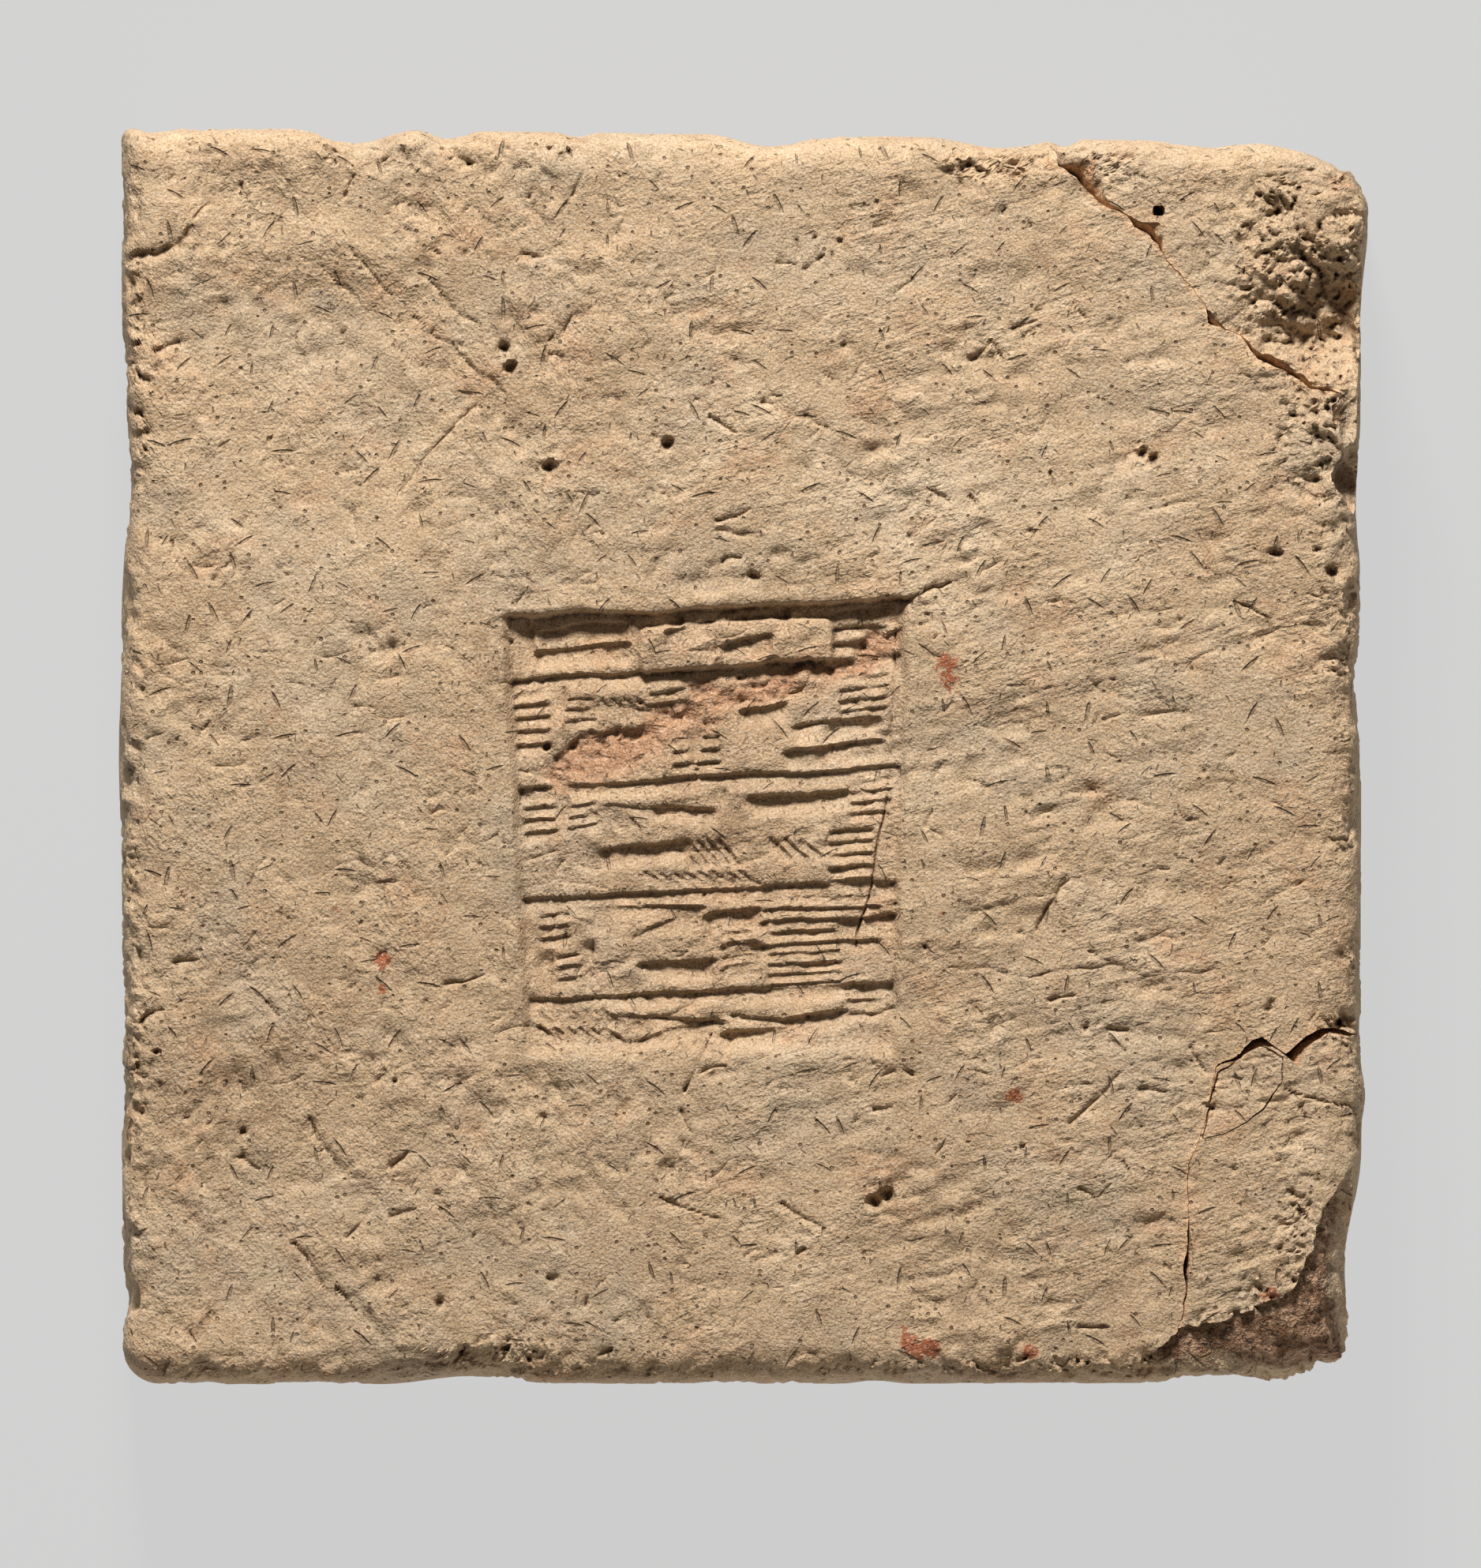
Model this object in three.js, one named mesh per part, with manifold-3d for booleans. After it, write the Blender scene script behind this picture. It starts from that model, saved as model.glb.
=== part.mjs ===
// A square brick of fired clay, lying flat, with a panel of short strokes pressed into its upper face.
// Two of its corners broke off and lie back in place, with a small wedge in the lower break.
// Millimetres, +Z up. The origin is at the middle of the underside, +Y is the far edge of the brick.

import * as THREE from 'three';
import { mergeVertices } from 'three/addons/utils/BufferGeometryUtils.js';
import Module from 'manifold-3d';

const wasm = await Module();
wasm.setup();

// Overall size
const WIDTH = 330;
const LENGTH = 332;
const THICKNESS = 80;

// Rounding of the upright corners: near left, near right, far right, far left
const CORNER_RADII = [10, 6, 18, 4];

// Each side in turn, anticlockwise from the near left corner. Insets are how far the side lies inside
// the full size at its two ends. A wear entry is a dip: where along the side, half its width (both
// shares of the side) and its depth; a negative depth is a swelling.
const SIDES = [
  { startInset: 0.3, endInset: 0.6,
    wear: [[0.28, 0.07, 2.0], [0.605, 0.03, 0.8], [0.88, 0.06, 2.0], [0.97, 0.05, 2.4]] },
  { startInset: 2.0, endInset: 2.2,
    wear: [[0.09, 0.1, 4.4], [0.23, 0.03, -1.1], [0.55, 0.05, 1.3], [0.7, 0.07, 1.2], [0.93, 0.08, -2.0]] },
  { startInset: 4.5, endInset: 0.0,
    wear: [[0.04, 0.06, 2.6], [0.13, 0.05, 1.5], [0.243, 0.015, 2.0], [0.295, 0.06, 2.6],
      [0.48, 0.05, 3.0], [0.633, 0.02, 1.2], [0.735, 0.03, 1.6], [0.81, 0.05, 3.6], [0.97, 0.03, 1.4]] },
  { startInset: 0.8, endInset: 1.0,
    wear: [[0.27, 0.13, 1.8], [0.5, 0.1, -0.7], [0.7, 0.04, 0.6], [0.93, 0.03, 1.2]] },
];
const SAMPLES_PER_SIDE = 36;
const CORNER_CROWDING = 0.6;

// Profile of the sides from the underside up: inset of the outline, height below the top if negative
const WIDEST_HEIGHT = 28;
const SIDE_PROFILE = [
  [3.5, 0], [0.8, 4], [0, WIDEST_HEIGHT], [0.5, 46], [0.6, 60], [0.9, -10], [1.8, -5], [3.4, -2], [6, -0.5],
];
const SIDE_WAVE = 1.6;
const SIDE_WAVE_LENGTH = 41;
const SIDE_WAVE_RISE = 11;

// The worn upper face: insets of its rings, its gentle unevenness and its broad hollows,
// each hollow with its middle, its half widths and its depth
const TOP_RING_INSETS = [10, 22, 40, 64, 92, 124];
const TOP_WAVE = 0.8;
const TOP_WAVE_LENGTH = 52;
const TOP_HOLLOWS = [
  { at: [-122, 128], spread: [30, 22], depth: 1.6 },
  { at: [-74, 96], spread: [40, 26], depth: 1.2 },
  { at: [70, 84], spread: [34, 30], depth: 1.0 },
  { at: [-128, -112], spread: [24, 40], depth: 1.3 },
  { at: [148, 128], spread: [18, 26], depth: 2.4 },
  { at: [60, -132], spread: [46, 18], depth: 1.0 },
];

// Chips knocked out of the edges and faces: the edge each is measured from and how far outside it the
// middle lies, its place along that edge, its depth below the top, then the half sizes of the scoop
const CHIPS = [
  { edge: 'right', outside: 1, along: 116, below: -1, half: [15, 19, 15] },
  { edge: 'right', outside: -1, along: 72, below: 3, half: [8, 10, 13] },
  { edge: 'right', outside: 0, along: 95, below: 0, half: [10, 16, 8] },
  { edge: 'right', outside: -1, along: 40, below: 2, half: [6, 9, 8] },
  { edge: 'right', outside: 1, along: 1, below: 6, half: [5, 7, 9] },
  { edge: 'far', outside: -4, along: 64, below: -1, half: [18, 7, 5] },
  { edge: 'far', outside: -12.4, along: 70.8, below: 0, half: [4, 2.2, 6] },
  { edge: 'far', outside: -22.8, along: 109, below: 2, half: [1.8, 1.8, 12] },
  { edge: 'near', outside: -1, along: -62, below: -1, half: [26, 7, 6] },
  { edge: 'near', outside: 0, along: 76, below: -1, half: [38, 6, 6] },
  { edge: 'left', outside: 1, along: 74, below: -1, half: [5, 24, 6] },
];
const SCOOP_DETAIL = 2;

// Crack round the far right corner: points of its edge on the body, from the right and far edges of the
// brick, and the width of its opening at the top of the brick
const UPPER_CRACK = [
  [84.5, -6, 7], [83.2, 4.7, 8], [82.4, 11.2, 9], [77.4, 14.3, 7], [72.8, 19.5, 4], [68.7, 22, 2.4],
  [64.3, 23.8, 0.8], [62.5, 27.1, 2.5], [58.5, 29.4, 4], [56, 31.5, 3], [54.8, 33.8, 0.8], [50, 39.8, 0.8],
  [45.2, 45.4, 0.7], [43.4, 48.3, 0.7], [42.5, 52.1, 3], [38.8, 53.5, 0.8], [34, 55.4, 0.8],
  [31.3, 59.5, 1.6], [29.9, 61.4, 3.5], [25.5, 63.7, 5], [19.9, 66.2, 5], [15.6, 69.1, 4],
  [10.4, 70.3, 1.2], [2.7, 72.8, 1], [-7, 76, 1],
];

// Crack round the near right corner, likewise from the right and near edges
const LOWER_CRACK = [
  [-7, 88, 1], [1.9, 89.6, 1.2], [7.7, 91.9, 2.4], [12.7, 92.9, 3.4], [17, 91.1, 3], [19.7, 88.2, 2.4],
  [22.6, 86.1, 1.6], [25.9, 88.6, 1.2], [29.1, 89.6, 1], [33.2, 87.1, 0.8], [40.7, 83.2, 0.8],
  [41.7, 79, 0.7], [43, 71.6, 0.7], [45.9, 64.1, 0.8], [48.1, 58.5, 1], [48.1, 44.4, 1],
  [48.4, 37.7, 1.6], [49.2, 31.5, 2], [48.6, 24.2, 1.2], [50.6, 15.9, 0.8], [51.7, -7, 0.8],
];
const CRACK_GAP = 0.45;
const CRACK_OPENING_DEPTH = 13;
const CRACK_LEAN = 0.06;

// The wedge in the lower crack: points from the right and near edges, its depth and its clearance
const WEDGE_OUTLINE = [
  [40.2, 82.5], [44.6, 65.1], [39.2, 66.3], [34.9, 68.8], [30.3, 72.3], [26.4, 76.1], [23.2, 80.6],
  [24.1, 85.1], [26.6, 87.0], [33.2, 85.6],
];
const WEDGE_DEPTH = 22;
const WEDGE_TAPER = 0.45;
const WEDGE_CLEARANCE = 0.4;

// The break that took the near right corner: its edge on the upper face, from the right and near edges,
// then how far the broken face runs out at each depth below the top
const BREAK_EDGE = [
  [-12, 78], [1, 65.8], [9.7, 53.3], [16, 40.8], [20.1, 27.4], [26.4, 22.2], [30.5, 21.1], [36.7, 18.4],
  [43, 17.6], [48.6, 19],
];
const BREAK_RUN_OUT = [[85, 21], [62, 17], [40, 11], [22, 5.5], [7, 1.6], [-6, -0.6]];
const BREAK_REACH = 40;

// The pressed panel: its middle from the middle of the face, its height, how far its far edge lies to
// the left of its near one, and for both edges the width, the rise from left to right and the depth
const PANEL_MIDDLE = [-9, -19.9];
const PANEL_HEIGHT = 116.8;
const PANEL_LEAN = 1.15;
const PANEL_FAR = { width: 105.6, rise: 4.8, depth: 4.2 };
const PANEL_NEAR = { width: 97, rise: 1.7, depth: 2.2 };
const PANEL_WALL_LEAN = 1.2;

// Strokes of the panel. Their places are shares of the panel, across from the left and down from the far
// edge; their widths and depths are sizes.
const RULE = { width: 3.4, depth: 1.1 };
const BAR = { width: 4.4, depth: 1.7 };
const TOOTH = { width: 2.1, depth: 0.9 };
const STROKE_SKEW = 0.22;
const NAIL_TAIL = 0.3;
const RULES = [0.148, 0.396, 0.649, 0.877];
const RULE_RISE = 0.01;
const BARS = [
  [0.1, 0.28, 0.055], [0.09, 0.29, 0.1], [0.42, 0.5, 0.06], [0.56, 0.64, 0.1],
  [0.6, 0.68, 0.25], [0.74, 0.92, 0.29], [0.72, 0.93, 0.345],
  [0.62, 0.84, 0.45], [0.24, 0.43, 0.555], [0.5, 0.61, 0.71], [0.33, 0.5, 0.82], [0.86, 0.97, 0.73],
  [0.72, 0.84, 0.945], [0.54, 0.7, 0.975],
];
const NAILS = [
  [0.16, 0.45, 0.2, 0.25], [0.2, 0.36, 0.27, 0.3], [0.22, 0.5, 0.44, 0.47], [0.08, 0.46, 0.665, 0.69],
  [0.3, 0.46, 0.735, 0.7], [0.24, 0.52, 0.915, 0.95], [0.26, 0.44, 0.98, 0.955], [0.56, 0.72, 0.92, 0.95],
];
const TICKS = [
  [0.05, 0.03, 0.11], [0.42, 0.02, 0.045], [0.5, 0.09, 0.125], [0.68, 0.02, 0.06], [0.12, 0.18, 0.25],
  [0.46, 0.28, 0.36], [0.56, 0.21, 0.25], [0.12, 0.42, 0.5], [0.52, 0.42, 0.46], [0.06, 0.78, 0.86],
  [0.17, 0.76, 0.83],
];
const COMBS = [
  { from: 0.82, to: 0.94, first: 0.03, last: 0.1, teeth: 3 },
  { from: 0.02, to: 0.09, first: 0.18, last: 0.3, teeth: 5 },
  { from: 0.42, to: 0.52, first: 0.3, last: 0.36, teeth: 3 },
  { from: 0.03, to: 0.1, first: 0.42, last: 0.5, teeth: 4 },
  { from: 0.87, to: 0.96, first: 0.41, last: 0.48, teeth: 4 },
  { from: 0.82, to: 0.92, first: 0.52, last: 0.63, teeth: 5 },
  { from: 0.06, to: 0.12, first: 0.69, last: 0.74, teeth: 3 },
  { from: 0.64, to: 0.94, first: 0.665, last: 0.77, teeth: 5 },
  { from: 0.54, to: 0.6, first: 0.74, last: 0.82, teeth: 4 },
  { from: 0.66, to: 0.84, first: 0.79, last: 0.86, teeth: 4 },
];
const HATCHES = [
  { from: 0.42, to: 0.56, top: 0.53, bottom: 0.58, strokes: 5 },
  { from: 0.66, to: 0.78, top: 0.53, bottom: 0.57, strokes: 3 },
  { from: 0.03, to: 0.24, top: 0.9, bottom: 0.93, strokes: 7 },
  { from: 0.05, to: 0.25, top: 0.945, bottom: 0.975, strokes: 6 },
];
const HATCH_LEAN = 0.025;

// The scar across the panel, where a layer came away with part of the strokes: its upper and lower
// edges as places on the panel, and how deep it is along the upper edge
const SCAR_UPPER_EDGE = [[0.1, 0.33], [0.2, 0.27], [0.3, 0.25], [0.4, 0.18], [0.52, 0.15], [0.64, 0.155],
  [0.74, 0.125], [0.86, 0.09], [0.96, 0.04]];
const SCAR_LOWER_EDGE = [[0.99, 0.13], [0.88, 0.17], [0.76, 0.2], [0.66, 0.24], [0.55, 0.23], [0.44, 0.29],
  [0.36, 0.36], [0.22, 0.37], [0.12, 0.38]];
const SCAR_DEPTH = 1.9;

const CLAY = { color: 0xc4a884, roughness: 0.93, metalness: 0 };
const SMALLEST_PIECE = 500;

// Solids

function solidFrom(points, triangles) {
  const mesh = new wasm.Mesh({
    numProp: 3,
    vertProperties: new Float32Array(points.flat()),
    triVerts: new Uint32Array(triangles.flat()),
  });
  return new wasm.Manifold(mesh);
}

// A stack of closed rings of equal count, lowest first, each anticlockwise seen from above
function loft(rings) {
  const count = rings[0].length;
  const points = rings.flat();
  const triangles = [];
  for (let level = 0; level + 1 < rings.length; level += 1) {
    for (let i = 0; i < count; i += 1) {
      const a = level * count + i;
      const b = level * count + ((i + 1) % count);
      triangles.push([a, b, b + count], [a, b + count, a + count]);
    }
  }
  const capOf = (ring) => THREE.ShapeUtils.triangulateShape(ring.map(([x, y]) => new THREE.Vector2(x, y)), []);
  const lift = (rings.length - 1) * count;
  for (const [a, b, c] of capOf(rings[0])) triangles.push([a, c, b]);
  for (const [a, b, c] of capOf(rings.at(-1))) triangles.push([a + lift, b + lift, c + lift]);
  return solidFrom(points, triangles);
}

// A rounded hollow with the given middle and half sizes
function scoop([x, y, z], [halfX, halfY, halfZ]) {
  const ball = new THREE.IcosahedronGeometry(1, SCOOP_DETAIL);
  ball.deleteAttribute('normal');
  ball.deleteAttribute('uv');
  const merged = mergeVertices(ball, 1e-5);
  merged.scale(halfX, halfY, halfZ);
  merged.translate(x, y, z);
  return new wasm.Manifold(new wasm.Mesh({
    numProp: 3,
    vertProperties: new Float32Array(merged.attributes.position.array),
    triVerts: new Uint32Array(merged.index.array),
  }));
}

function geometryOf(solid) {
  const mesh = solid.getMesh();
  const geometry = new THREE.BufferGeometry();
  geometry.setAttribute('position', new THREE.BufferAttribute(new Float32Array(mesh.vertProperties), 3));
  geometry.setIndex(new THREE.BufferAttribute(new Uint32Array(mesh.triVerts), 1));
  geometry.computeVertexNormals();
  return geometry;
}

// Outline

// A smooth bump of height 1 at the middle that ends at the given half width
function bump(distance, halfWidth) {
  const share = Math.min(Math.abs(distance) / halfWidth, 1);
  return 0.5 + 0.5 * Math.cos(Math.PI * share);
}

function sideInset(side, share) {
  const line = side.startInset + (side.endInset - side.startInset) * share;
  return side.wear.reduce((sum, [at, halfWidth, depth]) => sum + depth * bump(share - at, halfWidth), line);
}

// How far a round corner of this radius lies inside its square corner, at a distance from it
function cornerInset(distance, radius) {
  if (distance >= radius) return 0;
  return radius - Math.sqrt(radius ** 2 - (radius - distance) ** 2);
}

// The outline runs anticlockwise. On each side the points run from the middle of one round corner to the
// middle of the next, closer together near the corners.
function outline() {
  const corners = [[-1, -1], [1, -1], [1, 1], [-1, 1]].map(([x, y]) => [x * WIDTH / 2, y * LENGTH / 2]);
  const runs = [[1, 0], [0, 1], [-1, 0], [0, -1]];
  const half = 1 - Math.SQRT1_2;
  const points = [];
  SIDES.forEach((side, k) => {
    const length = k % 2 === 0 ? WIDTH : LENGTH;
    const before = SIDES[(k + 3) % 4];
    const after = SIDES[(k + 1) % 4];
    const startRadius = CORNER_RADII[k];
    const endRadius = CORNER_RADII[(k + 1) % 4];
    const startGap = sideInset(before, 1);
    const endGap = sideInset(after, 0);
    const from = startGap + half * startRadius;
    const to = length - endGap - half * endRadius;
    for (let i = 0; i < SAMPLES_PER_SIDE; i += 1) {
      const even = i / SAMPLES_PER_SIDE;
      const crowded = even - CORNER_CROWDING * Math.sin(2 * Math.PI * even) / (2 * Math.PI);
      const along = from + (to - from) * crowded;
      const inset = sideInset(side, along / length)
        + cornerInset(along - startGap, startRadius) + cornerInset(length - endGap - along, endRadius);
      const [runX, runY] = runs[k];
      points.push([corners[k][0] + runX * along - runY * inset, corners[k][1] + runY * along + runX * inset]);
    }
  });
  return fitToSize(points);
}

// Stretches the worn outline so that its extremes are at the full width and length
function fitToSize(points) {
  const spans = [WIDTH, LENGTH];
  const lows = [0, 1].map((axis) => Math.min(...points.map((point) => point[axis])));
  const highs = [0, 1].map((axis) => Math.max(...points.map((point) => point[axis])));
  return points.map((point) => point.map((value, axis) => (
    ((value - lows[axis]) / (highs[axis] - lows[axis]) - 0.5) * spans[axis]
  )));
}

function shrink([x, y], inset) {
  return [x * (1 - inset / (WIDTH / 2)), y * (1 - inset / (LENGTH / 2))];
}

// Brick

// Depth of the worn upper face below its highest plane
function wornDepth(x, y) {
  const wave = (1 + Math.sin(x / TOP_WAVE_LENGTH + 0.6) * Math.cos(y / TOP_WAVE_LENGTH - 0.4)) / 2;
  return TOP_HOLLOWS.reduce((sum, { at, spread, depth }) => {
    const far = Math.hypot((x - at[0]) / spread[0], (y - at[1]) / spread[1]);
    return sum + depth * bump(far, 1.6);
  }, TOP_WAVE * wave);
}

// Extra inset of a side at a height: shallow waves that die out at the underside, at the top and where
// the brick is widest
function sideWave(x, y, z) {
  const fade = Math.sin(Math.PI * z / THICKNESS) * Math.min(Math.abs(z / WIDEST_HEIGHT - 1), 1);
  const phase = z / SIDE_WAVE_RISE;
  const wave = Math.sin(x * 2 / SIDE_WAVE_LENGTH + phase) * Math.cos(y * 2 / SIDE_WAVE_LENGTH - phase);
  return SIDE_WAVE * fade * (1 + wave) / 2;
}

function wholeBrick() {
  const edge = outline();
  const sides = SIDE_PROFILE.map(([inset, height]) => edge.map((point) => {
    const z = height < 0 ? THICKNESS + height : height;
    const [x, y] = shrink(point, inset + sideWave(...point, z));
    return [x, y, z];
  }));
  const top = TOP_RING_INSETS.map((inset) => edge.map((point) => {
    const [x, y] = shrink(point, inset);
    return [x, y, THICKNESS - wornDepth(x, y)];
  }));
  return loft([...sides, ...top]);
}

// A crack as a thin sheet through the brick that opens towards the upper face. The points are measured
// from the right edge and from the far edge (end 1) or the near edge (end -1).
function crackSheet(line, end) {
  const place = ([fromRight, fromEnd]) => [WIDTH / 2 - fromRight, end * (LENGTH / 2 - fromEnd)];
  const ringAt = (z, openShare) => {
    const lean = CRACK_LEAN * (z - THICKNESS);
    const bodyEdge = line.map((point) => {
      const [x, y] = place(point);
      return [x + lean, y + end * lean, z];
    });
    const pieceEdge = line.map(([, , opening], i) => {
      const gap = (CRACK_GAP + Math.max(opening - CRACK_GAP, 0) * openShare) * Math.SQRT1_2;
      return [bodyEdge[i][0] + gap, bodyEdge[i][1] + end * gap, z];
    });
    return end > 0 ? [...bodyEdge, ...pieceEdge.reverse()] : [...bodyEdge.reverse(), ...pieceEdge].reverse();
  };
  const below = -5;
  const above = THICKNESS + 5;
  const throat = THICKNESS - CRACK_OPENING_DEPTH;
  const overOpen = 1 + (above - THICKNESS) / CRACK_OPENING_DEPTH;
  return loft([ringAt(below, 0), ringAt(throat, 0), ringAt(above, overOpen)].map(anticlockwise));
}

function anticlockwise(ring) {
  const flat = ring.map(([x, y]) => new THREE.Vector2(x, y));
  return THREE.ShapeUtils.isClockWise(flat) ? [...ring].reverse() : ring;
}

// The wedge narrows with depth about its own middle; a positive clearance makes it larger all round
function wedge(clearance) {
  const points = WEDGE_OUTLINE.map(([fromRight, fromNear]) => [WIDTH / 2 - fromRight, fromNear - LENGTH / 2]);
  const middle = [0, 1].map((axis) => points.reduce((sum, point) => sum + point[axis], 0) / points.length);
  const ringAt = (z, size) => anticlockwise(points.map((point) => {
    const across = Math.hypot(point[0] - middle[0], point[1] - middle[1]);
    const share = size + clearance / across;
    return [...point.map((value, axis) => middle[axis] + (value - middle[axis]) * share), z];
  }));
  const bottom = THICKNESS - WEDGE_DEPTH - clearance;
  const above = THICKNESS + 5;
  const sizeAbove = 1 + (1 - WEDGE_TAPER) * (above - THICKNESS) / WEDGE_DEPTH;
  return loft([ringAt(bottom, WEDGE_TAPER), ringAt(above, sizeAbove)]);
}

// Everything outside the broken face of the near right corner
function brokenCorner() {
  const edge = BREAK_EDGE.map(([fromRight, fromNear]) => [WIDTH / 2 - fromRight, fromNear - LENGTH / 2]);
  const outer = [
    [edge.at(-1)[0] - 2, -LENGTH / 2 - BREAK_REACH],
    [WIDTH / 2 + BREAK_REACH, -LENGTH / 2 - BREAK_REACH],
    [WIDTH / 2 + BREAK_REACH, edge[0][1]],
  ];
  const rings = BREAK_RUN_OUT.map(([below, runOut]) => {
    const shift = runOut * Math.SQRT1_2;
    const moved = edge.map(([x, y], i) => {
      const share = i === edge.length - 1 ? 0 : 1;
      return [x + shift * share, y - shift];
    });
    return anticlockwise([...moved, ...outer].map(([x, y]) => [x, y, THICKNESS - below]));
  });
  return loft(rings);
}

function chips() {
  const middleOf = {
    right: (outside, along) => [WIDTH / 2 + outside, along],
    left: (outside, along) => [-WIDTH / 2 - outside, along],
    far: (outside, along) => [along, LENGTH / 2 + outside],
    near: (outside, along) => [along, -LENGTH / 2 - outside],
  };
  return CHIPS.map(({ edge, outside, along, below, half }) => (
    scoop([...middleOf[edge](outside, along), THICKNESS - below], half)
  ));
}

// Panel of strokes

// A place on the panel floor: across from the left and down from the far edge, as shares
function onPanel(across, down) {
  const blend = (far, near) => far + (near - far) * down;
  const offset = across - 0.5;
  const x = PANEL_MIDDLE[0] + PANEL_LEAN * (down - 0.5) + offset * blend(PANEL_FAR.width, PANEL_NEAR.width);
  const y = PANEL_MIDDLE[1] - PANEL_HEIGHT * (down - 0.5) + offset * blend(PANEL_FAR.rise, PANEL_NEAR.rise);
  return [x, y, THICKNESS - blend(PANEL_FAR.depth, PANEL_NEAR.depth)];
}

function panelRecess() {
  const floor = [[0, 1], [1, 1], [1, 0], [0, 0]].map(([across, down]) => onPanel(across, down));
  const above = THICKNESS + 5;
  const middle = onPanel(0.5, 0.5);
  const rim = floor.map(([x, y, z]) => {
    const out = PANEL_WALL_LEAN * (above - z) / PANEL_FAR.depth;
    return [x + Math.sign(x - middle[0]) * out, y + Math.sign(y - middle[1]) * out, above];
  });
  return loft([floor, rim]);
}

// A groove between two places on the panel, with its own width and depth at each end. Its deepest line
// lies towards its left side, so that side is the steeper one.
function groove(start, end, startSize, endSize) {
  const [ax, ay, az] = onPanel(...start);
  const [bx, by, bz] = onPanel(...end);
  const length = Math.hypot(bx - ax, by - ay);
  const side = [-(by - ay) / length, (bx - ax) / length];
  const rise = 1;
  const section = (x, y, z, { width, depth }) => {
    const halfWidth = width / 2 * (1 + rise / depth);
    const skew = STROKE_SKEW * width;
    return [
      [x - side[0] * halfWidth, y - side[1] * halfWidth, z + rise],
      [x + side[0] * halfWidth, y + side[1] * halfWidth, z + rise],
      [x + side[0] * skew, y + side[1] * skew, z - depth],
    ];
  };
  const points = [...section(ax, ay, az, startSize), ...section(bx, by, bz, endSize)];
  return solidFrom(points, [[0, 1, 2], [3, 5, 4], [0, 4, 1], [0, 3, 4], [1, 5, 2], [1, 4, 5], [2, 3, 0], [2, 5, 3]]);
}

function scaledSize({ width, depth }, share) {
  return { width: width * share, depth: depth * share };
}

function strokes() {
  const cuts = [];
  for (const down of RULES) cuts.push(groove([0.02, down + RULE_RISE], [0.98, down - RULE_RISE], RULE, RULE));
  for (const [from, to, down] of BARS) cuts.push(groove([from, down], [to, down - RULE_RISE], BAR, BAR));
  for (const [from, to, startDown, endDown] of NAILS) {
    cuts.push(groove([from, startDown], [to, endDown], scaledSize(BAR, NAIL_TAIL), BAR));
  }
  for (const [across, top, bottom] of TICKS) {
    cuts.push(groove([across, top], [across, bottom], BAR, scaledSize(BAR, NAIL_TAIL)));
  }
  for (const { from, to, first, last, teeth } of COMBS) {
    for (let i = 0; i < teeth; i += 1) {
      const down = first + (last - first) * i / (teeth - 1);
      cuts.push(groove([from, down], [to, down - RULE_RISE / 2], TOOTH, TOOTH));
    }
  }
  for (const { from, to, top, bottom, strokes: count } of HATCHES) {
    for (let i = 0; i < count; i += 1) {
      const across = from + (to - from) * (i + 0.5) / count;
      cuts.push(groove([across - HATCH_LEAN, top], [across + HATCH_LEAN, bottom], TOOTH, TOOTH));
    }
  }
  return cuts;
}

// A slanted floor, deep along the upper edge and level with the panel along the lower one
function scar() {
  const lowered = (places, depth) => places.map((place) => {
    const [x, y, z] = onPanel(...place);
    return [x, y, z - depth];
  });
  const floor = [...lowered(SCAR_UPPER_EDGE, SCAR_DEPTH), ...lowered(SCAR_LOWER_EDGE, 0)];
  const above = floor.map(([x, y]) => [x, y, THICKNESS + 5]);
  return loft([anticlockwise(floor), anticlockwise(above)]);
}

// Parts

function cut(solid, cutters) {
  return cutters.reduce((rest, cutter) => rest.subtract(cutter), solid);
}

const worn = cut(wholeBrick(), [...chips(), brokenCorner(), panelRecess(), scar(), ...strokes()]);
const cracks = [crackSheet(UPPER_CRACK, 1), crackSheet(LOWER_CRACK, -1), wedge(WEDGE_CLEARANCE)];
const pieces = cut(worn, cracks).decompose()
  .filter((piece) => piece.volume() > SMALLEST_PIECE)
  .sort((a, b) => b.volume() - a.volume());
const isFar = (piece) => piece.boundingBox().min[1] > 0;

const namedPieces = {
  brick_body: pieces[0],
  upper_right_corner: pieces.slice(1).find(isFar),
  lower_right_corner: pieces.slice(1).find((piece) => !isFar(piece)),
  lower_right_wedge: worn.intersect(wedge(0)).subtract(cracks[1]),
};

const brick = new THREE.Group();
for (const [name, solid] of Object.entries(namedPieces)) {
  const mesh = new THREE.Mesh(geometryOf(solid), new THREE.MeshStandardMaterial(CLAY));
  mesh.name = name;
  brick.add(mesh);
}

export default brick;
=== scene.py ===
# A stamped brick of fired clay, seen from above. Its worn faces, pressed strokes, straw marks, cracks and
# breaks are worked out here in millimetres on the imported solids' own sizes, then set down in metres.

import math

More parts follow.
